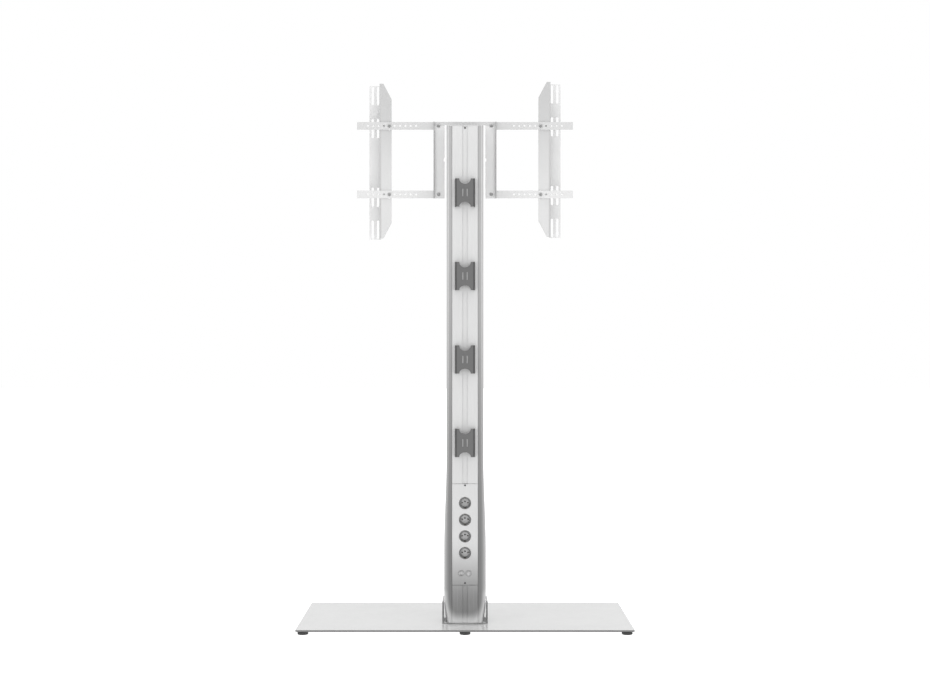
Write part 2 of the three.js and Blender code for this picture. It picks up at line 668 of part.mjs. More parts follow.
function resetButton() {
  const face = COLUMN_REAR - BUTTON_PROUD;
  const back = face + BUTTON_LENGTH;
  return turnedY([
    [0, face - 0.3], [BUTTON_RADIUS - 1.8, face - 0.1], [BUTTON_RADIUS - 0.4, face + 0.6],
    [BUTTON_RADIUS, face + 1.6], [BUTTON_RADIUS, back], [0, back],
  ], BUTTON_X, CONTROL_HEIGHT, ROUND_SIDES);
}

// A flanged inlet whose three blades stand up from the floor of its recess.
function mainsInlet() {
  const z = INLET_HEIGHT;
  const face = COLUMN_FRONT + GAP;
  const floor = face - INLET_RECESS_DEPTH;
  const level = ([halfX, halfZ], rear, front) => block(-halfX, halfX, rear, front, z - halfZ, z + halfZ);
  const body = join(level(INLET_FLANGE, face, face + 2), level(INLET_BODY, face - INLET_DEPTH, face + 1));
  const [bladeX, bladeZ] = INLET_BLADE.half;
  const blades = INLET_BLADES.map(([x, rise]) => block(
    x - bladeX, x + bladeX, floor - 1, floor + INLET_BLADE.long, z + rise - bladeZ, z + rise + bladeZ,
  ));
  return join(cut(body, level(INLET_RECESS, floor, face + 3)), ...blades);
}

SOCKET_HEIGHTS.forEach((z, i) => place(`socket_${i + 1}`, socketInsert(z), 'socket'));
place('earth_bar', earthBar(), 'brass');
place('live_bar', pinBar(-PIN_SPACING / 2), 'brass');
place('neutral_bar', pinBar(PIN_SPACING / 2), 'brass');
place('socket_chassis', socketChassis(), 'dark');
const [windowX, windowZ] = ROCKER_WINDOW;
place('rocker_bezel', bezel(ROCKER_X, block(
  ROCKER_X - windowX, ROCKER_X + windowX, COLUMN_REAR - 10, COLUMN_REAR + ROCKER_POCKET,
  CONTROL_HEIGHT - windowZ, CONTROL_HEIGHT + windowZ,
)), 'socket');
place('power_rocker', rocker(), 'panel');
place('reset_bezel', bezel(BUTTON_X, pinY(
  BUTTON_RADIUS + 0.4, BUTTON_X, CONTROL_HEIGHT, COLUMN_REAR - 10, COLUMN_REAR + BUTTON_LENGTH, ROUND_SIDES,
)), 'socket');
place('reset_button', resetButton(), 'panel');
place('mains_inlet', mainsInlet(), 'dark');

// ---------------------------------------------------------------- cable clips

// A bridge over two cable lanes, held by a dovetail foot in the panel's groove.
function cableClip(z) {
  const [half, wall] = [CLIP_WIDTH / 2, CLIP_WALL];
  const [top, foot] = [COLUMN_REAR - CLIP_STANDOFF, COLUMN_REAR - 0.4];
  const right = [
    [half - CLIP_CORNER, top], [half, top + CLIP_CORNER], [half, foot], [half - wall, foot],
    [half - wall, top + CLIP_CORNER + 1], [half - CLIP_CORNER - 1, top + wall],
  ];
  const bridge = outline([...right, ...right.map(([x, y]) => [-x, y]).reverse()]);
  const [low, high] = [z - CLIP_TALL / 2, z + CLIP_TALL / 2];
  const slope = GROOVE_UNDERCUT / GROOVE_DEPTH;
  const dovetail = [
    [CLIP_NECK, top + wall - 0.5], [CLIP_NECK, COLUMN_REAR + 0.2],
    [GROOVE_HALF + 0.2 * slope - GAP, COLUMN_REAR + 0.2],
    [GROOVE_HALF + (GROOVE_DEPTH - GAP) * slope - GAP, COLUMN_REAR + GROOVE_DEPTH - GAP],
  ];
  const post = outline([...dovetail, ...dovetail.map(([x, y]) => [-x, y]).reverse()]);
  const notches = [low, high].map((edge) => (
    pinY(1, 0, 0, -1, 1, ROUND_SIDES)
      .scale(CLIP_NOTCH[0], wall + 4, CLIP_NOTCH[1])
      .translate(0, top + 1, edge)
  ));
  const slits = [-CLIP_SLIT.x, CLIP_SLIT.x].map((x) => block(
    x - CLIP_SLIT.half, x + CLIP_SLIT.half, top - 1, top + wall + 1, z - CLIP_SLIT.reach, z + CLIP_SLIT.reach,
  ));
  const body = join(prism(bridge, low, high), prism(post, z - CLIP_POST_HALF, z + CLIP_POST_HALF));
  return cut(body, ...notches, ...slits);
}

CLIP_HEIGHTS.forEach((z, i) => place(`cable_clip_${i + 1}`, cableClip(z), 'clip'));

// ---------------------------------------------------------------- display bracket

const railHeights = [BRACKET_MIDDLE + RAIL_SPACING / 2, BRACKET_MIDDLE - RAIL_SPACING / 2];
const RAIL_REAR = YOKE_REAR + YOKE_SHEET + GAP;
const ARM_REAR = RAIL_REAR + RAIL_THICK + GAP;

function slotHole(x, low, high, width, sides = 4) {
  const radius = width / 2;
  const path = new THREE.Path();
  path.setFromPoints([
    ...arc([x, low + radius], [radius, radius], 180, 360, sides),
    ...arc([x, high - radius], [radius, radius], 0, 180, sides),
  ].map(([px, pz]) => new THREE.Vector2(px, pz)));
  return path;
}

// One bent sheet: two uprights with stiffening lips, a strip that joins them over the column, a flange
// folded forward from the strip, and a tongue down the column's front face.
function yoke() {
  const upright = outline([
    [UPRIGHT_INNER, UPRIGHT_LOW], [UPRIGHT_OUTER, UPRIGHT_LOW], [UPRIGHT_OUTER, YOKE_TOP],
    [UPRIGHT_INNER, YOKE_TOP], [UPRIGHT_INNER, BRACKET_MIDDLE + 6], [UPRIGHT_INNER + 3, BRACKET_MIDDLE + 4],
    [UPRIGHT_INNER + 3, BRACKET_MIDDLE - 4], [UPRIGHT_INNER, BRACKET_MIDDLE - 6],
  ]);
  const strip = sheet(upright, YOKE_REAR, YOKE_REAR + YOKE_SHEET);
  const lipInner = UPRIGHT_OUTER - YOKE_SHEET;
  const lip = block(lipInner, UPRIGHT_OUTER, YOKE_REAR - YOKE_LIP, YOKE_REAR + 1, UPRIGHT_LOW, YOKE_TOP);
  const stripFront = YOKE_REAR + YOKE_SHEET;
  const strap = block(-UPRIGHT_OUTER, UPRIGHT_OUTER, YOKE_REAR, stripFront, YOKE_TOP - YOKE_STRIP, YOKE_TOP);
  const [half, under] = [YOKE_FLANGE_HALF, YOKE_TOP - YOKE_SHEET];
  const flange = block(-half, half, YOKE_REAR, YOKE_FRONT, under, YOKE_TOP);
  const tongueRear = COLUMN_FRONT - YOKE_SHEET;
  const tongue = block(-TONGUE_HALF, TONGUE_HALF, tongueRear, COLUMN_FRONT, TONGUE_LOW, YOKE_TOP - 1);
  const whole = join(strip, mirrored(strip), lip, mirrored(lip), strap, flange, tongue);
  const railHoles = railHeights.flatMap((z) => [-RAIL_BOLT_X, RAIL_BOLT_X].map((x) => (
    pinY(M6 + GAP, x, z, YOKE_REAR - 1, YOKE_REAR + YOKE_SHEET + 1)
  )));
  const clampHoles = CLAMP_HEIGHTS.map((z) => pinY(M6 + GAP, 0, z, tongueRear - 1, COLUMN_FRONT + 1));
  return cut(whole, ...railHoles, ...clampHoles);
}

// A flat bar that slides in the T-slot, with a hole for each clamp bolt.
function clampBar() {
  const front = CORE_FRONT - 3 - GAP;
  const bar = block(-TSLOT_HALF + 0.5, TSLOT_HALF - 0.5, CORE_FRONT - TSLOT_DEPTH + 0.6, front,
    CLAMP_HEIGHTS[0] - CLAMP_BAR_OVERHANG, CLAMP_HEIGHTS.at(-1) + CLAMP_BAR_OVERHANG);
  return cut(bar, ...CLAMP_HEIGHTS.map((z) => pinY(M6 + GAP, 0, z, front - 10, front + 1)));
}

function clampBolt(z) {
  return screwY(0, z, -COLUMN_FRONT - GAP, -CORE_FRONT + TSLOT_DEPTH - 1.5).rotateZ(Math.PI);
}

function rail(side, z) {
  const shape = outline([
    [RAIL_INNER, z - RAIL_WIDTH / 2], [RAIL_OUTER, z - RAIL_WIDTH / 2],
    [RAIL_OUTER, z + RAIL_WIDTH / 2], [RAIL_INNER, z + RAIL_WIDTH / 2],
  ]);
  const row = Array.from({ length: RAIL_HOLES }, (_, i) => RAIL_FIRST_HOLE + i * RAIL_PITCH);
  const places = [RAIL_BOLT_X, ...row];
  for (const x of places) {
    const hole = new THREE.Path();
    hole.setFromPoints(arc([x, z], [M6 + GAP, M6 + GAP], 0, 324, HOLE_SIDES - 1)
      .map(([px, pz]) => new THREE.Vector2(px, pz)));
    shape.holes.push(hole);
  }
  const bar = sheet(shape, RAIL_REAR, RAIL_REAR + RAIL_THICK);
  return side > 0 ? bar : mirrored(bar);
}

// A bolt from the rear with its nut run up at the front. The nut is one body with the thread.
function boltAndNut(x, z, headY, nutY) {
  const bolt = screwY(x, z, headY, nutY + NUT_HEIGHT + 1.5);
  return join(bolt, pinY(NUT_RADIUS, x, z, nutY, nutY + NUT_HEIGHT, 6));
}

place('yoke', yoke(), 'bracket');
place('clamp_bar', clampBar(), 'steel');
CLAMP_HEIGHTS.forEach((z, i) => place(`clamp_bolt_${i + 1}`, clampBolt(z), 'steel'));
for (const [side, sign] of [['left', -1], ['right', 1]]) {
  ['upper', 'lower'].forEach((level, i) => {
    place(`rail_${level}_${side}`, rail(sign, railHeights[i]), 'bracket');
    const bolt = boltAndNut(sign * RAIL_BOLT_X, railHeights[i], YOKE_REAR - GAP, RAIL_REAR + RAIL_THICK + GAP);
    place(`rail_bolt_${level}_${side}`, bolt, 'steel');
  });
}

// ---------------------------------------------------------------- display arms

// A Z-section bent from sheet: a near flange on the rails, a web, and a slotted flange for the display.
function arm(offset) {
  const middle = BRACKET_MIDDLE + offset;
  const [low, high] = [middle - ARM_TALL / 2, middle + ARM_TALL / 2];
  const [chamferX, chamferZ] = ARM_CHAMFER;
  const webFar = ARM_WEB + ARM_SHEET;
  const near = outline([
    [ARM_EDGE, low + chamferZ], [ARM_EDGE + chamferX, low], [webFar, low],
    [webFar, high], [ARM_EDGE + chamferX, high], [ARM_EDGE, high - chamferZ],
  ]);
  for (const z of [middle - RAIL_SPACING / 2, middle + RAIL_SPACING / 2]) {
    const radius = M6 + 0.4;
    const reach = ARM_SLOT_REACH + radius;
    near.holes.push(slotHole(ARM_BOLT_X, z - reach, z + reach, 2 * radius));
  }
  const far = outline([[ARM_WEB, low], [ARM_OUTER, low], [ARM_OUTER, high], [ARM_WEB, high]]);
  for (const x of DISPLAY_SLOT_X) {
    for (const [from, to] of DISPLAY_SLOTS) {
      far.holes.push(slotHole(x, middle + from, middle + to, DISPLAY_SLOT_WIDTH));
      far.holes.push(slotHole(x, middle - to, middle - from, DISPLAY_SLOT_WIDTH));
    }
  }
  return join(
    sheet(near, ARM_REAR, ARM_REAR + ARM_SHEET),
    block(ARM_WEB, webFar, ARM_REAR, ARM_FRONT, low, high),
    sheet(far, ARM_FRONT - ARM_SHEET, ARM_FRONT),
  );
}

place('arm_left', mirrored(arm(ARM_OFFSETS.left)), 'bracket');
place('arm_right', arm(ARM_OFFSETS.right), 'bracket');
for (const [side, x] of [['left', -ARM_BOLT_X], ['right', ARM_BOLT_X]]) {
  ['upper', 'lower'].forEach((level, i) => {
    const bolt = boltAndNut(x, railHeights[i], RAIL_REAR - GAP, ARM_REAR + ARM_SHEET + GAP);
    place(`arm_bolt_${level}_${side}`, bolt, 'steel');
  });
}

export default stand;
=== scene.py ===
# %% [markdown]
# # A floor stand for a flat display
# The stand is a gloss base plate on rubber feet, an aluminium column with power sockets and cable
# clips on its rear, and a bracket with slotted arms that a display hangs on. The frame that we open
# here already holds every part at its real size and place. We keep it as the skeleton, give each
# part a finish, and model the parts that show again in finer detail, right where the frame has them.

# %% Open the frame
import json
import math

import bpy
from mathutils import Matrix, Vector


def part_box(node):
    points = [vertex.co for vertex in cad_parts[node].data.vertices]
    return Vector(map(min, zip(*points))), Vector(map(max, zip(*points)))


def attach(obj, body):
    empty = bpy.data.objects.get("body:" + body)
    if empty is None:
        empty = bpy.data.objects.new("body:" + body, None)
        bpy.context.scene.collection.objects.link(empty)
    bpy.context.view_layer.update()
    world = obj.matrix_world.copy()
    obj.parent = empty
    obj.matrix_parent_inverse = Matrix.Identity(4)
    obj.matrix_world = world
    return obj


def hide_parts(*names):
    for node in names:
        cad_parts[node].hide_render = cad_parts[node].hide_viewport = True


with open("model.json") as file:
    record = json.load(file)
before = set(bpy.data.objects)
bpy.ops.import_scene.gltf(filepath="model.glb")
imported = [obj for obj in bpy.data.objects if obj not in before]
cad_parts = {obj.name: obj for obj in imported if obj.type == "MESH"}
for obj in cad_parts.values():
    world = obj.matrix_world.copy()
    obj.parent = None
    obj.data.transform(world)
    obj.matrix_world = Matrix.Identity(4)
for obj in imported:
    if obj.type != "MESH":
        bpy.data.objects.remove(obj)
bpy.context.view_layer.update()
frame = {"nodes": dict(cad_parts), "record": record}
nodes = frame["nodes"]
print(len(nodes), "parts in the frame")

# %% [markdown]
# # Places and sizes
# Lengths are in metres, and outlines are drawn in millimetres. We could type in where each part is,
# but a place that is read from the part's own box is always right, so a new piece lands exactly where
# the old one is. -Y is the rear of the stand, +Z is up.

# %% Places read from the frame
MM = 0.001


def middle_of(name):
    """The middle of a part's box."""
    low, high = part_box(name)
    return (low + high) / 2


PLATE_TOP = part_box("base_plate")[1].z
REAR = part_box("rear_panel")[0].y
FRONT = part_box("front_cover")[1].y
print(f"plate top {PLATE_TOP:.3f}, column rear {REAR:.3f}, column front {FRONT:.3f}")


# %% [markdown]
# # Shader groups
# Several finishes share the same small effects: moulded grain, brushing lines, worn edges, settled
# dust, and painted shade and painted light that change slowly over the stand. We could repeat
# their nodes in every material. One node group for each effect, with named inputs, is built once and
# can be corrected in one place. A group only puts out a value, which the material then mixes into its own
# colour or roughness.

# %% Helpers for node trees
def new_group(name, inputs, output):
    """An empty shader group, the sockets that it is given, and the one that takes its result."""
    group = bpy.data.node_groups.new(name, "ShaderNodeTree")
    for label, value in inputs.items():
        socket = group.interface.new_socket(label, in_out="INPUT", socket_type="NodeSocketFloat")
        socket.default_value = value
    group.interface.new_socket(output, in_out="OUTPUT", socket_type="NodeSocketFloat")
    start_node, end_node = group.nodes.new("NodeGroupInput"), group.nodes.new("NodeGroupOutput")
    return group, start_node.outputs, end_node.inputs[output]


def feed(tree, socket, value):
    """Gives a socket its value: a link from another socket, or a plain number or colour."""
    if isinstance(value, bpy.types.NodeSocket):
        tree.links.new(value, socket)
    else:
        socket.default_value = value


def math_node(tree, operation, first, second=0.0):
    node = tree.nodes.new("ShaderNodeMath")
    node.operation = operation
    feed(tree, node.inputs[0], first)
    feed(tree, node.inputs[1], second)
    return node.outputs[0]


def times(tree, first, second):
    return math_node(tree, "MULTIPLY", first, second)


def map_range(tree, value, low, high, smooth=True):
    """0 where value is at low, 1 where it is at high."""
    node = tree.nodes.new("ShaderNodeMapRange")
    node.interpolation_type = "SMOOTHSTEP" if smooth else "LINEAR"
    tree.links.new(value, node.inputs["Value"])
    feed(tree, node.inputs["From Min"], low)
    feed(tree, node.inputs["From Max"], high)
    return node.outputs["Result"]


def noise(tree, vector, scale, detail, roughness=0.55):
    """Fractal noise over the given coordinates."""
    node = tree.nodes.new("ShaderNodeTexNoise")
    tree.links.new(vector, node.inputs["Vector"])
    feed(tree, node.inputs["Scale"], scale)
    node.inputs["Detail"].default_value = detail
    node.inputs["Roughness"].default_value = roughness
    return node.outputs["Fac"]


# %% What a shader can measure on the surface
def split(tree, vector):
    """The X, Y and Z of a vector."""
    node = tree.nodes.new("ShaderNodeSeparateXYZ")
    tree.links.new(vector, node.inputs["Vector"])
    return node.outputs


def object_place(tree):
    return tree.nodes.new("ShaderNodeTexCoord").outputs["Object"]


def normal(tree, kind="Normal"):
    return tree.nodes.new("ShaderNodeNewGeometry").outputs[kind]


def height(tree):
    return split(tree, object_place(tree))["Z"]


def from_middle(tree):
    return math_node(tree, "ABSOLUTE", split(tree, object_place(tree))["X"])


def up_or_down(tree):
    """1 on level faces, 0 on upright ones."""
    return math_node(tree, "ABSOLUTE", split(tree, normal(tree))["Z"])


def sideways(tree):
    return math_node(tree, "ABSOLUTE", split(tree, normal(tree))["X"])


def forwards(tree):
    """-1 on faces that look to the rear."""
    return split(tree, normal(tree))["Y"]


# %% Grain: the fine pebbled skin of paint and of moulded plastic
FINE_SHARE = 0.6
grain_group, given, result = new_group("Grain", {"Scale": 900.0, "Patches": 9.0}, "Value")
place = object_place(grain_group)
fine = noise(grain_group, place, given["Scale"], detail=2.0)
broad = noise(grain_group, place, given["Patches"], detail=4.0)
mixed = math_node(grain_group, "ADD", times(grain_group, fine, FINE_SHARE),
                  times(grain_group, broad, 1 - FINE_SHARE))
grain_group.links.new(mixed, result)

# %% Brushing: fine lines that run up the column
brush_group, given, result = new_group("Brushing", {"Lines": 1500.0, "Length": 5.0}, "Value")
stretch = brush_group.nodes.new("ShaderNodeMapping")
spread = brush_group.nodes.new("ShaderNodeCombineXYZ")
for axis, label in (("X", "Lines"), ("Y", "Lines"), ("Z", "Length")):
    brush_group.links.new(given[label], spread.inputs[axis])
brush_group.links.new(object_place(brush_group), stretch.inputs["Vector"])
brush_group.links.new(spread.outputs["Vector"], stretch.inputs["Scale"])
lines = noise(brush_group, stretch.outputs["Vector"], scale=1.0, detail=4.0, roughness=0.65)
brush_group.links.new(lines, result)

# %% Edge wear: rubbed corners, found where a rounded normal leaves the true one
WEAR_REACH = 0.8 * MM
wear_group, given, result = new_group("Edge wear", {"Start": 0.985, "Full": 0.90}, "Mask")
rounded = wear_group.nodes.new("ShaderNodeBevel")
rounded.samples = 6
rounded.inputs["Radius"].default_value = WEAR_REACH
likeness = wear_group.nodes.new("ShaderNodeVectorMath")
likeness.operation = "DOT_PRODUCT"
wear_group.links.new(rounded.outputs["Normal"], likeness.inputs[0])
wear_group.links.new(normal(wear_group, "True Normal"), likeness.inputs[1])
rubbed = map_range(wear_group, likeness.outputs["Value"], low=given["Start"], high=given["Full"])
scuffs = noise(wear_group, object_place(wear_group), scale=60.0, detail=5.0)
worn = times(wear_group, rubbed, map_range(wear_group, scuffs, low=0.42, high=0.62))
wear_group.links.new(worn, result)

# %% Dust: a thin film on faces that look up
dust_group, given, result = new_group("Dust", {"Amount": 0.5, "Scale": 14.0}, "Mask")
level = map_range(dust_group, split(dust_group, normal(dust_group))["Z"], low=0.6, high=0.98)
drifts = noise(dust_group, object_place(dust_group), given["Scale"], detail=6.0)
film = times(dust_group, level, map_range(dust_group, drifts, low=0.35, high=0.75))
film = times(dust_group, film, given["Amount"])
dust_group.links.new(film, result)


# %% Masks between two limits: by height, by distance from the middle, and by the way a face looks
def ranged_group(name, measure, low=0.0, high=1.0):
    """A group whose mask is 0 where the measure is at Low and 1 where it is at High."""
    group, given, result = new_group(name, {"Low": low, "High": high}, "Mask")
    mask = map_range(group, measure(group), given["Low"], given["High"])
    group.links.new(mask, result)
    return group


# These masks place painted shade and painted light in the finishes below.
fade_group = ranged_group("Height fade", height)
flank_group = ranged_group("Flank", from_middle)
rim_group = ranged_group("Rim faces", up_or_down, low=0.75, high=0.35)
rear_group = ranged_group("Rear faces", forwards, low=-0.60, high=-0.90)
side_group = ranged_group("Side faces", sideways, low=0.60, high=0.90)

# %% Tongue: the darker field of painted shade down the middle of the column, a painted reflection of a dark floor, which ends round just above the base
TONGUE_CURVE = 2.5
tongue_group, given, result = new_group(
    "Tongue", {"Flat": 0.02, "Round": 0.041, "Shoulder": 0.141, "Drop": 0.10}, "Mask")
across = math_node(tongue_group, "SUBTRACT", from_middle(tongue_group), given["Flat"])
across = math_node(tongue_group, "DIVIDE", math_node(tongue_group, "MAXIMUM", across), given["Round"])
down = math_node(tongue_group, "SUBTRACT", given["Shoulder"], height(tongue_group))
down = math_node(tongue_group, "DIVIDE", math_node(tongue_group, "MAXIMUM", down), given["Drop"])
reach = math_node(tongue_group, "ADD", math_node(tongue_group, "POWER", across, TONGUE_CURVE),
                  math_node(tongue_group, "POWER", down, TONGUE_CURVE))
outside = times(tongue_group, map_range(tongue_group, reach, low=0.55, high=1.50),
                map_range(tongue_group, down, low=0.02, high=0.25))
tongue_group.links.new(math_node(tongue_group, "SUBTRACT", 1.0, outside), result)
print(len(bpy.data.node_groups), "shader groups")


# %% [markdown]
# # Finishes
# The base plate is gloss paint, the bracket is a finer satin paint, and the column is anodised
# aluminium, brushed along its length. Sockets, clips and the inlet are moulded, and the feet are
# rubber. Pictures of such surfaces could be wrapped round the parts, but procedural nodes stay sharp
# at any size and need no unwrapping. One function sets up the nodes that every finish has, and the
# cells after it add what only one finish needs.

# %% The parts of a finish
def grey(tone):
    return (tone, tone, tone, 1)


def own_socket(material, label):
    """A socket on the material's own shader."""
    return material.node_tree.nodes["Principled BSDF"].inputs[label]


def add_group(material, group, **values):
    """Places a shader group in the material and returns its output socket."""
    node = material.node_tree.nodes.new("ShaderNodeGroup")
    node.node_tree = group
    for label, value in values.items():
        node.inputs[label].default_value = value
    return node.outputs[0]


def tint(material, mask, colour):
    """Mixes colour over what already feeds Base Color, where the mask is white."""
    tree = material.node_tree
    base = own_socket(material, "Base Color")
    mix = tree.nodes.new("ShaderNodeMix")
    mix.data_type = "RGBA"
    tree.links.new(mask, mix.inputs["Factor"])
    feed(tree, mix.inputs["A"], base.links[0].from_socket if base.links else base.default_value)
    feed(tree, mix.inputs["B"], colour)
    tree.links.new(mix.outputs["Result"], base)


def shade_by(material, group, tone, share=1.0, **values):
    """Turns the finish to a grey tone, by share, where the group's mask is white."""
    mask = add_group(material, group, **values)
    if share < 1:
        mask = times(material.node_tree, mask, share)
    tint(material, mask, grey(tone))


def vary_roughness(material, value, low, high):
    """Lets the roughness follow a 0 to 1 value."""
    tree = material.node_tree
    node = tree.nodes.new("ShaderNodeMapRange")
    tree.links.new(value, node.inputs["Value"])
    node.inputs["To Min"].default_value = low
    node.inputs["To Max"].default_value = high
    tree.links.new(node.outputs["Result"], own_socket(material, "Roughness"))


def emboss(material, value, depth):
    """A bump of the given depth in metres."""
    tree = material.node_tree
    bump = tree.nodes.new("ShaderNodeBump")
    bump.inputs["Strength"].default_value = 0.6
    bump.inputs["Distance"].default_value = depth
    tree.links.new(value, bump.inputs["Height"])
    tree.links.new(bump.outputs["Normal"], own_socket(material, "Normal"))


# %% A grained finish
PATCH_TONE = 0.93


def coloured(name, tone, metallic, grain):
    """A new material with a slightly uneven tone, and the value of its grain."""
    material = bpy.data.materials.new(name)
    material.use_nodes = True
    own_socket(material, "Base Color").default_value = grey(tone)
    own_socket(material, "Metallic").default_value = metallic
    value = add_group(material, grain_group, Scale=grain)
    tint(material, map_range(material.node_tree, value, low=0.35, high=0.7), grey(tone * PATCH_TONE))
    return material, value


def finish(name, tone, roughness, metallic=0.0, grain=900.0, depth=0.02 * MM):
    material, value = coloured(name, tone, metallic, grain)
    vary_roughness(material, value, roughness * 0.85, roughness * 1.15)
    emboss(material, value, depth)
    return material


# %% The painted finishes
finishes = {
    "plate": finish("gloss painted plate", 0.62, 0.24, grain=700.0, depth=0.003 * MM),
    "bracket": finish("satin painted bracket", 0.62, 0.42, grain=1400.0),
    "arm": finish("satin painted arm", 0.58, 0.42, grain=1400.0),
    # Painted light: the yoke's paint is a shade lighter than the bracket's, lifting the shade that the column
    # casts on its uprights.
    "yoke": finish("yoke paint lightened with painted light", 0.69, 0.42, grain=1400.0),
    "shoe": finish("pale painted shoe", 0.66, 0.36, grain=1400.0),
}
plate_paint = finishes["plate"]
shade_by(plate_paint, dust_group, 0.70, Amount=0.12, Scale=40.0)
# Painted shade: the plate's upright edges are painted nearly black, a painted reflection of a dark room.
shade_by(plate_paint, rim_group, 0.15)
own_socket(plate_paint, "Coat Weight").default_value = 0.3
own_socket(plate_paint, "Coat Roughness").default_value = 0.12

# %% Painted shade on the bracket: darker towards the top, in bands along the arm's web and the yoke's lips, and on faces that look sideways; the arm's far flange is painted lighter. Its corners are worn.
arm_paint, yoke_paint = finishes["arm"], finishes["yoke"]
shade_by(finishes["bracket"], fade_group, 0.53, Low=1.50, High=1.66)
shade_by(arm_paint, fade_group, 0.44, Low=1.42, High=1.82)
shade_by(arm_paint, flank_group, 0.44, Low=0.2815, High=0.2835)
shade_by(arm_paint, flank_group, 0.67, Low=0.2890, High=0.2896)
shade_by(yoke_paint, fade_group, 0.54, Low=1.676, High=1.682)
shade_by(yoke_paint, flank_group, 0.38, Low=0.1020, High=0.1035)
for name in ("bracket", "arm", "yoke"):
    shade_by(finishes[name], side_group, 0.42, share=0.8)
    shade_by(finishes[name], wear_group, 0.76)

# %% Painted shade on the shoe: darker where it faces the rear, and darkest there on its cheeks
shoe_paint = finishes["shoe"]
rear_faces = add_group(shoe_paint, rear_group)
tint(shoe_paint, rear_faces, grey(0.32))
cheeks = add_group(shoe_paint, flank_group, Low=0.0695, High=0.0705)
tint(shoe_paint, times(shoe_paint.node_tree, rear_faces, cheeks), grey(0.20))


# %% The anodised finishes, brushed up the column
def brushed(name, tone, roughness, metallic, foot, low, high, tip):
    """Anodised aluminium, brushed upwards. Painted shade turns it to the tone of foot from high down to low,
    inside the tongue, and painted light turns it to the tone of tip round the tongue's end; its outer flanks
    are painted lighter."""
    material, _ = coloured(name, tone, metallic, grain=2200.0)
    tree = material.node_tree
    lines = add_group(material, brush_group)
    # Painted shade darkens the foot; painted light brightens round the tongue's end and on the outer flanks.
    shade_by(material, fade_group, foot, Low=high, High=low)
    tint(material, math_node(tree, "SUBTRACT", 1.0, add_group(material, tongue_group)), grey(tip))
    shade_by(material, flank_group, 0.80, share=0.75, Low=0.050, High=0.071)
    streaks = times(tree, map_range(tree, lines, low=0.62, high=0.35), 0.22)
    tint(material, streaks, grey(tone * 0.72))
    vary_roughness(material, lines, roughness * 0.75, roughness * 1.3)
    emboss(material, lines, 0.012 * MM)
    own_socket(material, "Anisotropic").default_value = 0.4
    return material


finishes["aluminium"] = brushed("brushed column metal", 0.54, 0.36, metallic=0.85,
                                foot=0.27, low=0.15, high=1.30, tip=0.74)
finishes["panel"] = brushed("satin panel metal", 0.64, 0.42, metallic=0.25,
                            foot=0.20, low=0.08, high=0.31, tip=0.72)

# %% The moulded finishes
finishes["socket"] = finish("grey socket moulding", 0.29, 0.45, grain=1600.0)
finishes["socket face"] = finish("light socket moulding", 0.50, 0.42, grain=1600.0)
finishes["control"] = finish("pale control moulding", 0.42, 0.40, grain=1600.0)
finishes["clip"] = finish("dark clip moulding", 0.12, 0.48, grain=1300.0, depth=0.04 * MM)
# Painted shade: the clip's outer sides are painted darker.
shade_by(finishes["clip"], flank_group, 0.05, Low=0.0255, High=0.0285)
shade_by(finishes["clip"], wear_group, 0.17)
finishes["dark"] = finish("black moulding", 0.045, 0.5, grain=1300.0, depth=0.03 * MM)
finishes["rubber"] = finish("foot rubber", 0.05, 0.8, grain=700.0, depth=0.06 * MM)
shade_by(finishes["rubber"], wear_group, 0.1)

# %% The metal finishes
BRASS = (0.30, 0.25, 0.17, 1)
finishes["steel"] = finish("zinc plated steel", 0.42, 0.32, metallic=0.9, grain=1100.0)
shade_by(finishes["steel"], wear_group, 0.6)
finishes["brass"] = finish("contact brass", 0.3, 0.34, metallic=1.0, grain=1500.0)
tint(finishes["brass"], add_group(finishes["brass"], grain_group, Scale=300.0), BRASS)
print(len(finishes), "finishes")


# %% [markdown]
# # Tools for the bench
# A few helpers stand for what we would do by hand. We deselect everything, add a primitive, shape it
# in edit mode, cut it with a cutter, and round its edges. After each piece its place is moved into
# its mesh, so that its object stays at the origin, as the frame's own parts are. Points and faces
# could also be listed in code, but operators and modifiers are easier to read and to change.

# %% Starting and settling a piece
def start():
    """Object mode, with nothing selected."""
    if bpy.context.mode != "OBJECT":
        bpy.ops.object.mode_set(mode="OBJECT")
    bpy.ops.object.select_all(action="DESELECT")


def pick(piece):
    start()
    piece.select_set(True)
    bpy.context.view_layer.objects.active = piece
    return piece


def apply_place():
    bpy.ops.object.transform_apply(location=True, rotation=True, scale=True)


def settle(name):
    """Names the object just made and moves its place into its mesh."""
    piece = bpy.context.object
    piece.name = piece.data.name = name
    apply_place()
    return piece


def edit(select="SELECT"):
    """Edit mode, with all of the mesh selected or deselected."""
    bpy.ops.object.mode_set(mode="EDIT")
    bpy.ops.mesh.select_all(action=select)


def clean():
    """In edit mode: merges doubles, turns all faces outwards, and goes back to object mode."""
    bpy.ops.mesh.select_all(action="SELECT")
    bpy.ops.mesh.remove_doubles(threshold=1e-6)
    bpy.ops.mesh.normals_make_consistent(inside=False)
    bpy.ops.object.mode_set(mode="OBJECT")


# %% Blocks, rods, prisms and turned pieces
def slab(name, low, high):
    start()
    low, high = Vector(low), Vector(high)
    bpy.ops.mesh.primitive_cube_add(size=1, location=(low + high) / 2, scale=high - low)
    return settle(name)


def rod(name, radius, centre, length, axis="Y", sides=32):
    start()
    turn = (math.pi / 2, 0, 0) if axis == "Y" else (0, 0, 0)
    bpy.ops.mesh.primitive_cylinder_add(vertices=sides, radius=radius, depth=length,
                                        location=centre, rotation=turn)
    return settle(name)


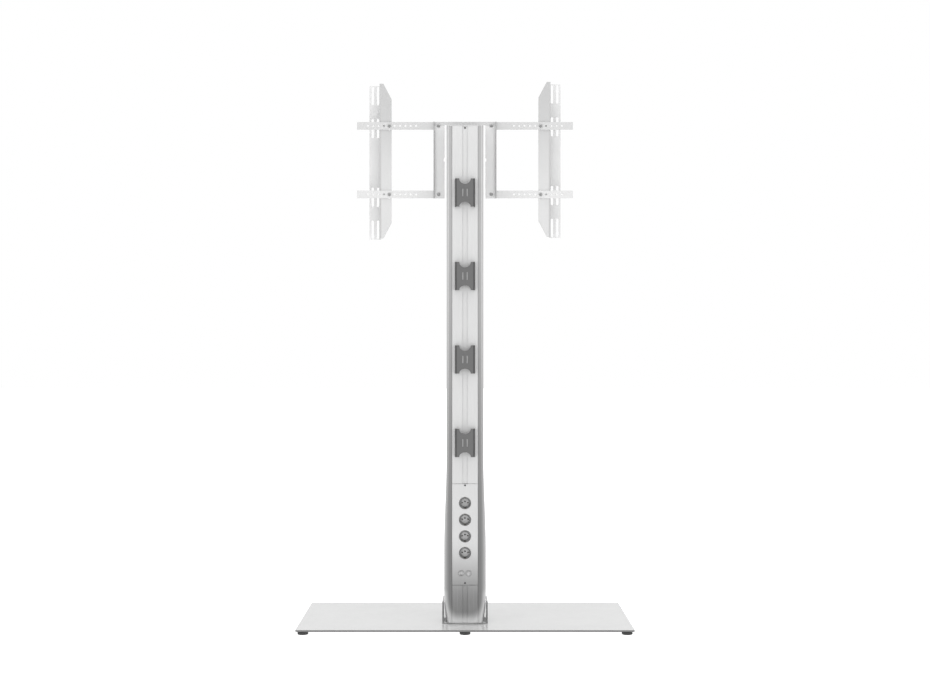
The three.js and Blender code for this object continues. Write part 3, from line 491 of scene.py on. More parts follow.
def draw(name, points):
    """A chain of edges through the points, left selected in edit mode."""
    start()
    bpy.ops.mesh.primitive_plane_add(size=MM, location=points[0])
    piece = settle(name)
    edit()
    bpy.ops.mesh.select_mode(type="VERT")
    bpy.ops.mesh.merge(type="CENTER")
    for here, there in zip(points, points[1:]):
        step = Vector(there) - Vector(here)
        bpy.ops.mesh.extrude_region_move(TRANSFORM_OT_translate={"value": step})
    bpy.ops.mesh.select_all(action="SELECT")
    return piece


def prism(name, points, reach):
    """The closed outline through the points, extruded by reach."""
    piece = draw(name, points)
    bpy.ops.mesh.edge_face_add()
    bpy.ops.mesh.select_all(action="SELECT")
    bpy.ops.mesh.extrude_region_move(TRANSFORM_OT_translate={"value": Vector(reach)})
    clean()
    return piece


def turned(name, profile, centre=(0, 0, 0), axis="Y", steps=48):
    """A profile of (radius, place along the axis) pairs, in millimetres, spun round the axis."""
    along = Vector((0, 1, 0)) if axis == "Y" else Vector((0, 0, 1))
    points = [Vector(centre) + Vector((radius * MM, 0, 0)) + along * spot * MM for radius, spot in profile]
    piece = draw(name, points)
    bpy.ops.mesh.spin(steps=steps, angle=2 * math.pi, center=centre, axis=along)
    clean()
    return piece


def arc(centre, radius, first, last, steps):
    """Points on an arc in a plane, angles in degrees."""
    angles = [math.radians(first + (last - first) * i / steps) for i in range(steps + 1)]
    return [(centre[0] + radius * math.cos(a), centre[1] + radius * math.sin(a)) for a in angles]


def both_sides(half):
    """A half outline, with its mirror image after it."""
    return half + [(-x, y) for x, y in reversed(half)]


# %% Cutting, joining, copying and rounding
def apply(piece, modifier):
    pick(piece)
    bpy.ops.object.modifier_apply(modifier=modifier.name)
    return piece


def combine(first, *others):
    pick(first)
    for other in others:
        other.select_set(True)
    if others:
        bpy.ops.object.join()
    return first


def boolean(piece, operation, tool):
    modifier = piece.modifiers.new("Boolean", "BOOLEAN")
    modifier.operation = operation
    modifier.solver = "EXACT"
    modifier.object = tool
    apply(piece, modifier)
    bpy.data.objects.remove(tool)
    return piece


def cut(piece, *tools):
    return boolean(piece, "DIFFERENCE", combine(*tools))


def weld(piece, tool):
    return boolean(piece, "UNION", tool)


def shade(piece, angle=35):
    """Smooths the shading up to the angle, and lets the large faces keep their own normals."""
    pick(piece)
    bpy.ops.mesh.customdata_custom_splitnormals_clear()
    bpy.ops.object.shade_smooth_by_angle(angle=math.radians(angle))
    modifier = piece.modifiers.new("Even shading", "WEIGHTED_NORMAL")
    modifier.keep_sharp = True
    return apply(piece, modifier)


def soften(piece, width, segments=2, angle=30):
    """Rounds the edges sharper than the angle, then shades the piece."""
    modifier = piece.modifiers.new("Bevel", "BEVEL")
    modifier.width = width
    modifier.segments = segments
    modifier.limit_method = "ANGLE"
    modifier.angle_limit = math.radians(angle)
    return shade(apply(piece, modifier), angle + 5)


def copied(piece, name, shift=(0, 0, 0)):
    """A copy with its own mesh, moved by shift."""
    pick(piece)
    bpy.ops.object.duplicate()
    bpy.ops.transform.translate(value=shift)
    return settle(name)


def mirrored(piece, name):
    """A copy on the other side of the stand."""
    copied(piece, name)
    edit()
    bpy.ops.transform.resize(value=(-1, 1, 1), center_override=(0, 0, 0))
    clean()
    return bpy.context.object


def discard(*pieces):
    for piece in pieces:
        bpy.data.objects.remove(piece)


def fit(piece, body, slot, *replaced, finish_name=None):
    """Gives a finished piece its material and its body, and hides the parts that it stands for."""
    piece.data.materials.clear()
    piece.data.materials.append(finishes[finish_name or slot])
    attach(piece, body)
    if replaced:
        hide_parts(*replaced)
    print(f"{piece.name}: {len(piece.data.polygons)} faces")
    return piece


# %% A finer copy of a part whose shape is already right
def refined(node, name, width, segments=2):
    """The part's mesh with its triangles merged into flat faces and its edges rounded."""
    piece = bpy.data.objects.new(name, nodes[node].data.copy())
    bpy.context.scene.collection.objects.link(piece)
    pick(piece)
    edit()
    bpy.ops.mesh.remove_doubles(threshold=1e-5)
    bpy.ops.mesh.dissolve_limited(angle_limit=math.radians(1))
    clean()
    return soften(piece, width, segments)


# %% [markdown]
# # The base plate and its feet
# The base is one heavy sheet with gloss paint. Its corners are rounded a little, and its edges just
# enough to catch a thin line of light, so it is a block with bevelled edges. Under it are six rubber
# pads. A cylinder would look like a coin, so each is turned from a profile: a round-edged puck, and a
# narrow collar that holds it off the plate.

# %% The base plate
PLATE_CORNER = 6 * MM
BOLT_HOLE = 4.5 * MM
COUNTERSINK = 9.5 * MM
column_bolts = [f"column_bolt_{number}" for number in range(1, 5)]
low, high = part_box("base_plate")
plate = slab("gloss_base_plate", low, high)
edit("DESELECT")
bpy.ops.mesh.select_mode(type="EDGE")
bpy.ops.object.mode_set(mode="OBJECT")
for edge in plate.data.edges:
    ends = [plate.data.vertices[i].co for i in edge.vertices]
    edge.select = abs(ends[0].z - ends[1].z) > MM
bpy.ops.object.mode_set(mode="EDIT")
bpy.ops.mesh.bevel(offset=PLATE_CORNER, segments=8)
bpy.ops.object.mode_set(mode="OBJECT")
places = [middle_of(name) for name in column_bolts]
cut(plate, *[rod("bolt_hole", BOLT_HOLE, (place.x, place.y, PLATE_TOP), 20 * MM, "Z") for place in places])
for place in places:
    start()
    bpy.ops.mesh.primitive_cone_add(vertices=48, radius1=COUNTERSINK, radius2=BOLT_HOLE, depth=5 * MM,
                                    location=(place.x, place.y, low.z + 2 * MM))
    cut(plate, settle("countersink"))
fit(soften(plate, 0.7 * MM, segments=3), "stand", "plate", "base_plate")

# %% The feet
FOOT_PROFILE = [
    (0, 4), (5.5, 4), (6.5, 3), (6.5, 0.4), (7.2, 0), (13.5, 0), (16, 0.7), (17.6, 2.2),
    (18, 4.5), (17.6, 6.8), (16.2, 8.6), (14, 9.1), (7.5, 9.2), (7, 9.8), (7, 11.7), (0, 11.7),
]
pad = soften(turned("pad", FOOT_PROFILE, axis="Z", steps=64), 0.25 * MM, angle=20)
for name in [name for name in nodes if name.startswith("foot_")]:
    place = middle_of(name)
    fit(copied(pad, name + "_pad", (place.x, place.y, 0)), "stand", "rubber", name)
discard(pad)

# %% The bolts that hold the column, seen in the underside of the plate
COLUMN_BOLT_PROFILE = [(0, 2.6), (2.3, 2.6), (2.6, 2.2), (2.6, 0), (7.7, 0), (8, 0.3), (4, 4.2), (4, 33),
                       (3.4, 34), (0, 34)]
bolt = turned("bolt", COLUMN_BOLT_PROFILE, axis="Z", steps=32)
for name in column_bolts:
    place = middle_of(name)
    shift = (place.x, place.y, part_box(name)[0].z)
    fit(copied(bolt, name.replace("column", "countersunk"), shift), "stand", "steel", name)
discard(bolt)

# %% [markdown]
# # The shoe
# The column stands in a bent plate with two upright cheeks. The plate's rear edge bows out. We could
# bend it again from a flat sheet, but its shape in the frame is exact, so we take a copy, merge its
# triangles, and round its edges as a press would.

# %% The shoe
shoe = refined("column_shoe", "folded_shoe", 0.8 * MM, segments=3)
fit(shoe, "stand", "bracket", "column_shoe", finish_name="shoe")

# %% [markdown]
# # The column's covers
# Each side of the column is a curved shell. It is straight above, flares out around the sockets, and
# draws in again towards the base, where its rear corner also grows rounder. A bevelled box can't do
# that, so we take a grid, wrap its width round the section of the shell and stretch its height up the
# column, where each level may have its own section.

# %% The section of a cover
COLUMN_HALF = 61 * MM
FLARE_HALF = 69.6 * MM
TUCK_HALF = 62 * MM
FLARE_TOP = 560 * MM
FLARE_FULL = 240 * MM
TUCK_TOP = 113 * MM
COVER_WALL = 2.5 * MM
COVER_RETURN = 8 * MM
COVER_LIP = 2 * MM
COVER_CHAMFER = 0.6 * MM
FRONT_CORNER = 12 * MM
REAR_CORNER = (10 * MM, 12 * MM)
FOOT_CORNER = (16 * MM, 30 * MM)
COVER_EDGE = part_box("side_cover_right")[0].x


def ease(t):
    t = min(max(t, 0), 1)
    return t * t * (3 - 2 * t)


def half_width(height):
    if height < TUCK_TOP:
        return TUCK_HALF + (FLARE_HALF - TUCK_HALF) * math.sin(math.pi / 2 * height / TUCK_TOP)
    return COLUMN_HALF + (FLARE_HALF - COLUMN_HALF) * ease((FLARE_TOP - height) / (FLARE_TOP - FLARE_FULL))


def oval(centre, radii, first, last, steps):
    """Points on an oval arc in a plane, angles in degrees."""
    circle = arc((0, 0), 1, first, last, steps)
    return [(centre[0] + radii[0] * x, centre[1] + radii[1] * y) for x, y in circle]


def cover_section(height):
    """The closed section at a height above the plate."""
    rounder = ease(1 - height / (TUCK_TOP + 20 * MM))
    corner = [above + (foot - above) * rounder for above, foot in zip(REAR_CORNER, FOOT_CORNER)]
    half = half_width(height)
    rear_centre = (half - corner[0], REAR + corner[1])
    front_centre = (half - FRONT_CORNER, FRONT - FRONT_CORNER)
    inside = COVER_EDGE + COVER_LIP
    return [
        (COVER_EDGE, REAR + COVER_CHAMFER), (COVER_EDGE + COVER_CHAMFER, REAR),
        *oval(rear_centre, corner, -90, 0, 14),
        *arc(front_centre, FRONT_CORNER, 0, 90, 10),
        (COVER_EDGE + COVER_CHAMFER, FRONT), (COVER_EDGE, FRONT - COVER_CHAMFER),
        (COVER_EDGE, FRONT - COVER_RETURN), (inside, FRONT - COVER_RETURN), (inside, FRONT - COVER_WALL),
        *arc(front_centre, FRONT_CORNER - COVER_WALL, 90, 0, 10),
        *oval(rear_centre, [radius - COVER_WALL for radius in corner], 0, -90, 14),
        (inside, REAR + COVER_WALL), (inside, REAR + COVER_RETURN), (COVER_EDGE, REAR + COVER_RETURN),
    ]


# %% Wrapping a grid into the cover
def between(low, high, count):
    return [low + (high - low) * i / count for i in range(count)]


cover_low, cover_high = (corner.z - PLATE_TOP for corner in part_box("side_cover_right"))
levels = [*between(cover_low, TUCK_TOP, 16), *between(TUCK_TOP, FLARE_FULL, 3),
          *between(FLARE_FULL, FLARE_TOP, 20), *between(FLARE_TOP, cover_high, 8), cover_high]
sections = [cover_section(level) for level in levels]
around = len(sections[0])
start()
bpy.ops.mesh.primitive_grid_add(x_subdivisions=around, y_subdivisions=len(levels) - 1, size=1)
cover = settle("brushed_cover_right")
for vertex in cover.data.vertices:
    step = round((vertex.co.x + 0.5) * around) % around
    level = round((vertex.co.y + 0.5) * (len(levels) - 1))
    vertex.co = (*sections[level][step], levels[level] + PLATE_TOP)

# %% Closing its ends
pick(cover)
edit()
bpy.ops.mesh.remove_doubles(threshold=1e-6)
bpy.ops.mesh.select_all(action="DESELECT")
bpy.ops.mesh.select_mode(type="EDGE")
bpy.ops.mesh.select_non_manifold()
bpy.ops.mesh.edge_face_add()
clean()
bpy.ops.object.shade_smooth_by_angle(angle=math.radians(32))
fit(mirrored(cover, "brushed_cover_left"), "stand", "aluminium", "side_cover_left")
fit(cover, "stand", "aluminium", "side_cover_right")


# %% [markdown]
# # The light panels
# The middle of the column's rear is closed by three satin lengths. The long upper one and the short
# lower one have a dovetail groove for the cable clips. The socket panel between them is flat, with
# round holes. The lines could be painted on, but real grooves and seams catch the light from every
# side, so the section is drawn once and extruded.

# %% The grooved lengths
PANEL_SECTION = both_sides([(10.5, 3), (9, 0), (42.5, 0), (42.5, 3), (16, 3), (16, 6)])
PANEL_EDGE = 0.4 * MM


def grooved_panel(name, node):
    """The extrusion with its dovetail groove, as long as the part that it stands for."""
    low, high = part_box(node)
    return prism(name, [(x * MM, REAR + y * MM, low.z) for x, y in PANEL_SECTION], (0, 0, high.z - low.z))


def screw_hole(node):
    return rod("screw_hole", 2 * MM, (0, REAR + 3 * MM, middle_of(node).z), 10 * MM)


upper = cut(grooved_panel("satin_rear_panel", "rear_panel"), screw_hole("panel_screw_top"))
fit(soften(upper, PANEL_EDGE), "stand", "panel", "rear_panel")
lower = grooved_panel("satin_lower_panel", "lower_panel")
fit(soften(lower, PANEL_EDGE), "stand", "panel", "lower_panel")

# %% The socket panel
SOCKET_HOLE = 20.4 * MM
CONTROL_HOLE = 9.3 * MM
socket_heights = [middle_of(f"socket_{number}").z for number in range(1, 5)]
switch_place, button_place = ((middle_of(name).x, REAR, middle_of(name).z)
                              for name in ("rocker_bezel", "reset_bezel"))
panel = slab("satin_socket_panel", *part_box("socket_panel"))
holes = [rod("socket_hole", SOCKET_HOLE, (0, REAR, z), 16 * MM, sides=96) for z in socket_heights]
holes += [rod("control_hole", CONTROL_HOLE, spot, 16 * MM, sides=64) for spot in (switch_place, button_place)]
cut(panel, *holes, screw_hole("panel_screw_middle"), screw_hole("panel_screw_low"))
fit(soften(panel, PANEL_EDGE), "stand", "panel", "socket_panel")

# %% The front cover, the cap and the mains inlet
fit(refined("front_cover", "satin_front_cover", 0.5 * MM), "stand", "panel", "front_cover")
fit(refined("top_cap", "folded_top_cap", 0.6 * MM), "stand", "bracket", "top_cap")
fit(refined("mains_inlet", "moulded_inlet", 0.5 * MM), "stand", "dark", "mains_inlet")

# %% [markdown]
# # The screws in the panels
# Three small pan-head screws hold the panels. Plain discs would do from afar, but a turned head with a
# cross recess still looks right close up. One is turned, cut and copied.

# %% The panel screws
SCREW_HEAD = 1.6
SCREW_PROFILE = [(0, -SCREW_HEAD), (1.6, -1.5), (2.6, -1.1), (3, -0.5), (3, 0), (1.5, 0), (1.5, 13),
                 (1.2, 13.6), (0, 13.6)]
screw = turned("screw", SCREW_PROFILE, steps=40)
recess = Vector((0, -1.9, 0))
for size in ((2.9, 2, 0.75), (0.75, 2, 2.9)):
    half = Vector(size) / 2
    cut(screw, slab("cross", (recess - half) * MM, (recess + half) * MM))
for name in ("panel_screw_top", "panel_screw_middle", "panel_screw_low"):
    place = (0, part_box(name)[0].y + SCREW_HEAD * MM, middle_of(name).z)
    fit(copied(screw, "pan_head_" + name, place), "stand", "dark", name)
discard(screw)

# %% [markdown]
# # The mains sockets
# A socket is a round well in a dark moulding. In its floor sits a lighter disc with two pin holes, a
# small screw just above the middle and a key at the bottom. The earth springs show as two tongues at
# the top and the bottom of the well: those are part of the brass bar behind, which the frame has. A
# dark circle on the panel would look flat from the side, so the well is spun to its real depth.

# %% One socket well, drawn in millimetres from the panel's face
FLOOR = 17.5
PIN_SPREAD = 9.5
WELL_PROFILE = [
    (0, FLOOR + 1.5), (14, FLOOR + 1.5), (14, FLOOR), (17.0, FLOOR), (17.4, FLOOR - 0.6), (19.2, 0.3),
    (19.5, 0), (20, 0), (20, 3.3), (23.5, 3.3), (23.5, 5.3), (20, 5.3), (20, 29), (0, 29),
]
well = turned("well", WELL_PROFILE, steps=96)
for low, high in ((15.5, 19), (-19, -15.5)):
    cut(well, slab("notch", (-2.8 * MM, 2 * MM, low * MM), (2.8 * MM, 30 * MM, high * MM)))
for x in (-PIN_SPREAD, PIN_SPREAD):
    cut(well, rod("pin_hole", 3.8 * MM, (x * MM, 25 * MM, 0), 20 * MM))
soften(well, 0.2 * MM)
print("well:", len(well.data.polygons), "faces")

# %% The lighter disc in its floor
SCREW_SPOT = Vector((0, FLOOR * MM, 3.8 * MM))
DISC_PROFILE = [(0, FLOOR - 0.6), (12.2, FLOOR - 0.6), (13.2, FLOOR - 0.2), (13.7, FLOOR + 0.4),
                (13.7, FLOOR + 1.2), (0, FLOOR + 1.2)]
disc = turned("disc", DISC_PROFILE, steps=96)
holes = [rod("pin_hole", 2.6 * MM, (x * MM, FLOOR * MM, 0), 8 * MM) for x in (-PIN_SPREAD, PIN_SPREAD)]
holes.append(rod("screw_seat", 2.8 * MM, SCREW_SPOT - Vector((0, 0.8 * MM, 0)), 2.4 * MM))
holes.append(slab("key", (-2.4 * MM, (FLOOR - 2) * MM, -14 * MM), (2.4 * MM, (FLOOR + 0.5) * MM, -8.2 * MM)))
soften(cut(disc, *holes), 0.2 * MM)
seat = rod("seat", 2.6 * MM, SCREW_SPOT - Vector((0, 0.1 * MM, 0)), 0.8 * MM)
soften(seat, 0.25 * MM)
print("disc:", len(disc.data.polygons), "faces")

# %% Four sockets
for number, level in enumerate(socket_heights, 1):
    place = (0, REAR, level)
    fit(copied(well, f"socket_well_{number}", place), "stand", "socket", f"socket_{number}")
    fit(copied(disc, f"socket_disc_{number}", place), "stand", "socket", finish_name="socket face")
    fit(copied(seat, f"socket_screw_{number}", place), "stand", "dark")
discard(well, disc, seat)

# %% [markdown]
# # Switch and button
# Two round bezels sit under the sockets, each a pale face in a darker ring. The left one has a window
# with a rocker, whose face is bent so that one half always stands out. The right one has a small
# sprung button with a dished face. Everything round is turned, and the window is cut afterwards. The
# rocker's shape in the frame is right, so it is only refined.

# %% The bezels: a pale face inside a darker ring
BEZEL_PROFILE = [(0, -0.9), (8.2, -0.9), (8.6, -0.5), (8.6, 20), (0, 20)]
RING_PROFILE = [(8.7, -0.3), (8.7, -1.3), (9.1, -1.6), (9.7, -1.6), (10.2, -1.1), (10.2, -0.3), (8.7, -0.3)]
WINDOW_HALF = Vector((4, 0, 6.8)) * MM
bezel = turned("bezel", BEZEL_PROFILE, steps=72)
ring = soften(turned("ring", RING_PROFILE, steps=72), 0.1 * MM, angle=20)
fit(copied(ring, "switch_ring", switch_place), "stand", "socket")
fit(copied(ring, "button_ring", button_place), "stand", "socket")
rocker_bezel = copied(bezel, "switch_bezel", switch_place)
window = [Vector(switch_place) - WINDOW_HALF, Vector(switch_place) + WINDOW_HALF]
window[0].y, window[1].y = REAR - 3 * MM, REAR + 12 * MM
cut(rocker_bezel, slab("window", *window))
fit(soften(rocker_bezel, 0.2 * MM), "stand", "socket", "rocker_bezel", finish_name="control")
reset_bezel = copied(bezel, "button_bezel", button_place)
pocket = Vector(button_place) + Vector((0, 5 * MM, 0))
cut(reset_bezel, rod("pocket", 6.2 * MM, pocket, 18 * MM, sides=64))
fit(soften(reset_bezel, 0.2 * MM), "stand", "socket", "reset_bezel", finish_name="control")
discard(bezel, ring)

# %% The rocker and the button
BUTTON_PROFILE = [(0, -3.7), (2.5, -3.8), (4.2, -4.1), (4.9, -4.2), (5.4, -3.9), (5.8, -3.0),
                  (5.8, 10), (0, 10)]
rocker = refined("power_rocker", "switch_rocker", 0.5 * MM, segments=3)
fit(rocker, "rocker", "panel", "power_rocker", finish_name="control")
button = turned("push_button", BUTTON_PROFILE, button_place, steps=64)
fit(soften(button, 0.2 * MM, angle=40), "reset", "panel", "reset_button", finish_name="control")

# %% [markdown]
# # The cable clips
# A clip is a dark bridge over two cable lanes, held by a dovetail foot in the panel's groove. A thumb
# notch is cut into each end, and two short slits beside the foot let its middle flex. Built face by
# face it would take long, but its section is the same all along, so we extrude that and cut the rest.

# %% One clip, drawn in millimetres from the panel's face
STANDOFF = 17.5
FOOT_HALF = 26
clips = [f"cable_clip_{number}" for number in range(1, 5)]
low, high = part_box(clips[0])
half = (high.x - low.x) / 2 / MM
tall = high.z - low.z
bridge = both_sides([
    (half - 4.5, -STANDOFF), (half - 1.2, -STANDOFF + 1.3), (half, -STANDOFF + 4.5), (half, -0.4),
    (half - 2.5, -0.4), (half - 2.5, -STANDOFF + 5.5), (half - 5.5, -STANDOFF + 2.5),
])
clip = prism("clip", [(x * MM, y * MM, -tall / 2) for x, y in bridge], (0, 0, tall))
post = both_sides([(4, -STANDOFF + 2), (4, 0.2), (8.8, 0.2), (10.05, 2.7)])
weld(clip, prism("post", [(x * MM, y * MM, -FOOT_HALF * MM) for x, y in post], (0, 0, 2 * FOOT_HALF * MM)))
print("clip:", len(clip.data.polygons), "faces")

# %% Its notches and slits
NOTCH_HALF = 18.8
NOTCH_DEPTHS = ((1, 18.0), (-1, 16.0))
SLIT_PLACES = (-7.2, 7.2)
notches = []
for side, depth in NOTCH_DEPTHS:
    notch = pick(rod("notch", MM, (0, -STANDOFF * MM, side * tall / 2), 10 * MM, sides=64))
    bpy.ops.transform.resize(value=(NOTCH_HALF, 1, depth), center_override=(0, 0, side * tall / 2))
    apply_place()
    notches.append(notch)
cut(clip, *notches)
cut(clip, *[slab("slit", ((x - 1.6) * MM, -20 * MM, -12.5 * MM), ((x + 1.6) * MM, -13 * MM, 12.5 * MM))
            for x in SLIT_PLACES])
soften(clip, 0.5 * MM)

# %% A pale strip behind each slit, painted light where the slit shows the panel in shade
slit_light_strips = soften(combine(*[
    slab("strip", ((x - 1.5) * MM, -16.4 * MM, -12.4 * MM), ((x + 1.5) * MM, -15.2 * MM, 12.4 * MM))
    for x in SLIT_PLACES
]), 0.4 * MM)
for number, name in enumerate(clips, 1):
    place = (0, REAR, middle_of(name).z)
    fit(copied(clip, f"moulded_clip_{number}", place), f"clip_{number}", "clip", name)
    fit(copied(slit_light_strips, f"clip_slit_light_{number}", place), f"clip_{number}", "clip", finish_name="control")
discard(clip, slit_light_strips)

# %% [markdown]
# # The display bracket
# The yoke is bent from one sheet: two uprights with stiffening lips, a strip over the column, and a
# tongue down its front. Its copy from the frame gets rounded edges. The rails are plain flat bars with
# a row of holes. The holes in the frame have few sides, so the rails are cut again with rounder ones.

# %% The yoke
yoke = refined("yoke", "folded_yoke", 0.6 * MM, segments=3)
fit(yoke, "display_bracket", "bracket", "yoke", finish_name="yoke")

# %% The rails
RAIL_HOLE = 3.3 * MM
RAIL_HOLES = [89.0] + [165.0 + 18.0 * i for i in range(10)]
for level in ("upper", "lower"):
    node = f"rail_{level}_right"
    spot = middle_of(node)
    rail = slab(f"drilled_rail_{level}_right", *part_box(node))
    cut(rail, *[rod("hole", RAIL_HOLE, (x * MM, spot.y, spot.z), 8 * MM, sides=40) for x in RAIL_HOLES])
    soften(rail, 0.5 * MM)
    left = shade(mirrored(rail, f"drilled_rail_{level}_left"))
    fit(left, "display_bracket", "bracket", f"rail_{level}_left")
    fit(rail, "display_bracket", "bracket", node)


# %% [markdown]
# # The arms
# Each arm is a tall Z section. The near flange lies on the rails and is clipped off at its corners, the
# web reaches towards the display, and the far flange has two columns of long slots. A sheet with a
# Solidify modifier would do, but its bends would be sharp. We draw the Z with its two bends, extrude it
# to the arm's height, and cut it with round-ended cutters.

# %% The Z section, with an inside and an outside radius at each bend
ARM_SHEET = 2.5 * MM
INSIDE = 1.0 * MM
OUTSIDE = INSIDE + ARM_SHEET


def z_section(edge, web, outer, near, far):
    """Points in X and Y: the near flange, the bend to the web, the web, and the bend to the far flange."""
    return [
        (edge, near), *arc((web + ARM_SHEET - OUTSIDE, near + OUTSIDE), OUTSIDE, -90, 0, 6),
        *arc((web + ARM_SHEET + INSIDE, far - ARM_SHEET - INSIDE), INSIDE, 180, 90, 6),
        (outer, far - ARM_SHEET), (outer, far), *arc((web + OUTSIDE, far - OUTSIDE), OUTSIDE, 90, 180, 6),
        *arc((web - INSIDE, near + ARM_SHEET + INSIDE), INSIDE, 0, -90, 6), (edge, near + ARM_SHEET),
    ]


def slot_cutter(x, low, high, width, rear, front):
    """A cutter with round ends, upright in X and Z."""
    radius = width / 2
    points = arc((x, low + radius), radius, 180, 360, 14) + arc((x, high - radius), radius, 0, 180, 14)
    return prism("slot", [(px, rear, pz) for px, pz in points], (0, front - rear, 0))


# %% One arm and its clipped corners
ARM_WEB = 286 * MM
CORNER_TALL = 53 * MM
CORNER_WIDE = 28 * MM
OVERCUT = 5 * MM
low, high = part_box("arm_right")
section = z_section(low.x, ARM_WEB, high.x, low.y, high.y)
arm = prism("slotted_arm_right", [(x, y, low.z) for x, y in section], (0, 0, high.z - low.z))
for side, end in ((1, high.z), (-1, low.z)):
    foot, past = end - side * CORNER_TALL, end + side * OVERCUT
    corner = [(low.x - OVERCUT, foot), (low.x, foot), (low.x + CORNER_WIDE, end),
              (low.x + CORNER_WIDE, past), (low.x - OVERCUT, past)]
    cut(arm, prism("corner", [(x, low.y - MM, z) for x, z in corner], (0, 5 * MM, 0)))

# %% Its slots: two columns for the display's screws, and two short ones at the rails
DISPLAY_SLOTS = ((196, 259), (84, 150), (-150, -84), (-259, -196))
DISPLAY_COLUMNS = (296.3 * MM, 314.4 * MM)
BOLT_COLUMN = 255 * MM
BOLT_HEIGHT = 115.5 * MM
BOLT_SLOT_HALF = 11.4 * MM
arm_middle = middle_of("arm_right").z
cutters = []
for x in DISPLAY_COLUMNS:
    for first, last in DISPLAY_SLOTS:
        cutters.append(slot_cutter(x, arm_middle + first * MM, arm_middle + last * MM, 8.5 * MM,
                                   high.y - 5 * MM, high.y + MM))
for z in (arm_middle + BOLT_HEIGHT, arm_middle - BOLT_HEIGHT):
    cutters.append(slot_cutter(BOLT_COLUMN, z - BOLT_SLOT_HALF, z + BOLT_SLOT_HALF, 6.8 * MM,
                               low.y - MM, low.y + 4 * MM))
soften(cut(arm, *cutters), 0.4 * MM)
print("arm:", len(arm.data.polygons), "faces")

# %% The left arm is its mirror image, hung a little lower
drop = middle_of("arm_left").z - middle_of("arm_right").z
left = mirrored(arm, "slotted_arm_left")
bpy.ops.transform.translate(value=(0, 0, drop))
apply_place()
fit(shade(left), "left_arm", "bracket", "arm_left", finish_name="arm")
fit(arm, "right_arm", "bracket", "arm_right", finish_name="arm")


# %% [markdown]
# # Bolts
# Rails and arms are held by button-head bolts with a hex socket, with a nut on the display side. The
# clamp bolts on the front are the same bolt turned round, and run into the bar in the T-slot. A thread
# is hidden once they are tight, so each bolt is a plain turned shank with a good head, made once and
# copied.

# %% A bolt head, a shank and a nut
HEAD = 3.6
NUT = 5.0
NUT_INSET = 6.5


def bolt_piece(length, nut_place=None):
    """A bolt along +Y from the seat of its head at 0, in millimetres."""
    profile = [(0, -HEAD), (3.4, -HEAD), (4.8, -3.1), (5.6, -2.0), (5.8, -0.8), (5.8, 0), (3, 0),
               (3, length - 0.8), (2.4, length), (0, length)]
    bolt = turned("bolt", profile)
    cut(bolt, rod("hex_key", 2.3 * MM, (0, -3 * MM, 0), 3 * MM, sides=6))
    if nut_place is not None:
        nut = rod("nut", 5.6 * MM, (0, (nut_place + NUT / 2) * MM, 0), NUT * MM, sides=6)
        weld(bolt, soften(nut, 0.5 * MM))
    return soften(bolt, 0.2 * MM, angle=40)


def shank_length(name):
    low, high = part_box(name)
    return (high.y - low.y) / MM - HEAD


# %% The bolts of rails and arms
for kind in ("rail", "arm"):
    names = [f"{kind}_bolt_{level}_{side}" for level in ("upper", "lower") for side in ("left", "right")]
    length = shank_length(names[0])
    bolt = bolt_piece(length, length - NUT_INSET)
    for name in names:
        place = middle_of(name)
        place.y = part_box(name)[0].y + HEAD * MM
        fit(copied(bolt, "button_head_" + name, place), "display_bracket", "steel", name)
    discard(bolt)

# %% The clamp bolts, with their heads on the front
clamp = pick(bolt_piece(shank_length("clamp_bolt_1")))
bpy.ops.transform.rotate(value=math.pi, orient_axis="Z", center_override=(0, 0, 0))
apply_place()
for number in range(1, 4):
    name = f"clamp_bolt_{number}"
    place = (0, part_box(name)[1].y - HEAD * MM, middle_of(name).z)
    fit(copied(clamp, "front_" + name, place), "display_bracket", "steel", name)
discard(clamp)

# %% [markdown]
# # Finishes for the parts inside
# The core of the column, the contact bars, the chassis and the clamp bar have the right shape in the
# frame, and hardly show. They stay as they are and take the finish of their slot.

# %% Carried-over parts
for part in frame["record"]["subparts"]:
    node = nodes[part["node"]]
    node.data.materials.clear()
    node.data.materials.append(finishes[part["material_slot"]])
shown = [name for name, node in nodes.items() if not node.hide_render]
print("kept from the frame:", ", ".join(sorted(shown)))


# %% [markdown]
# # Room, light and camera
# The stand is pale metal in a white room. A plain white room would leave metal flat, so in reflections
# the world is darker below, and white above and past the front of the stand. For matt surfaces it is a
# little darker at the sides, and the camera sees it plain white. One wide light above and two at the
# sides model the curved covers.

# %% The floor
start()
bpy.ops.mesh.primitive_plane_add(size=60, location=(0, 0, 0))
floor = settle("floor")
floor_paint = bpy.data.materials.new("pale floor")
floor_paint.use_nodes = True
for label, value in (("Base Color", grey(0.92)), ("Roughness", 1.0), ("Specular IOR Level", 0.0),
                     ("Emission Color", grey(1)), ("Emission Strength", 0.75)):
    own_socket(floor_paint, label).default_value = value
floor.data.materials.append(floor_paint)
floor.visible_glossy = False
print("floor:", floor.dimensions.x, "m wide")

# %% The world
world = bpy.data.worlds.new("studio")
bpy.context.scene.world = world
world.use_nodes = True
sky = world.node_tree
direction = split(sky, sky.nodes.new("ShaderNodeTexCoord").outputs["Generated"])
ramp = sky.nodes.new("ShaderNodeValToRGB")
sky.links.new(map_range(sky, direction["Z"], low=-0.3, high=0.3, smooth=False), ramp.inputs["Fac"])
stops = ramp.color_ramp.elements
stops[0].color, stops[1].color = grey(0.55), grey(1.0)
for spot, tone in ((0.30, 0.62), (0.5, 0.80), (0.78, 1.0)):
    stops.new(spot).color = grey(tone)


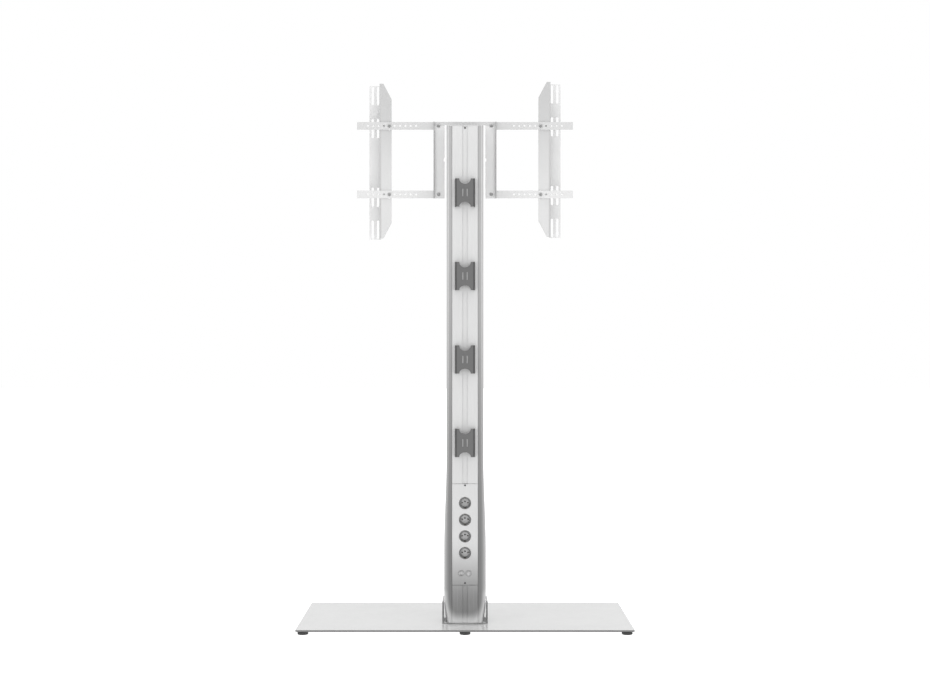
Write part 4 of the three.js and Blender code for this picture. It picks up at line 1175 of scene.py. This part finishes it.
def choose(mask, first, second):
    """first where the mask is 0, second where it is 1."""
    mix = sky.nodes.new("ShaderNodeMix")
    mix.data_type = "RGBA"
    sky.links.new(mask, mix.inputs["Factor"])
    feed(sky, mix.inputs["A"], first)
    feed(sky, mix.inputs["B"], second)
    return mix.outputs["Result"]


past_the_front = map_range(sky, direction["Y"], low=-0.2, high=0.3)
to_the_sides = map_range(sky, math_node(sky, "ABSOLUTE", direction["X"]), low=0.5, high=1.0)
rays = sky.nodes.new("ShaderNodeLightPath").outputs
mirrored_room = choose(past_the_front, ramp.outputs["Color"], grey(1.0))
diffuse_room = choose(to_the_sides, grey(0.92), grey(0.60))
seen_by_surfaces = choose(rays["Is Glossy Ray"], diffuse_room, mirrored_room)
seen = choose(rays["Is Camera Ray"], seen_by_surfaces, grey(1.0))
sky.links.new(seen, sky.nodes["Background"].inputs["Color"])
print("world:", len(sky.nodes), "nodes")


# %% The lights
def soft_light(name, place, target, size, power):
    start()
    bpy.ops.object.light_add(type="AREA", location=place)
    light = bpy.context.object
    light.name = name
    light.data.shape = "RECTANGLE"
    light.data.size, light.data.size_y = size
    light.data.energy = power
    light.rotation_euler = (Vector(target) - Vector(place)).to_track_quat("-Z", "Y").to_euler()
    print(name, "light,", power, "W")


soft_light("overhead", (0, -0.5, 3.6), (0, 0, 0), size=(3.2, 2.4), power=30)
soft_light("left window", (-4.2, -3.0, 1.6), (0, 0, 0.9), size=(1.6, 3.0), power=18)
soft_light("right window", (4.2, -3.0, 1.6), (0, 0, 0.9), size=(1.6, 3.0), power=18)

# %% The camera, level and square to the rear of the stand
start()
bpy.ops.object.camera_add(location=(0, -4.755, 0.918), rotation=(math.pi / 2, 0, 0))
camera = bpy.context.object
camera.data.lens = 53.93
camera.data.shift_y = 0.0031
bpy.context.scene.camera = camera
bpy.context.scene.view_settings.view_transform = "Standard"
print(f"camera {-camera.location.y:.2f} m behind the stand")

# %% [markdown]
# The new pieces may not change the size of the stand, so we write both boxes down before we finish.

# %% Bring the view layer up to date
bpy.context.view_layer.update()
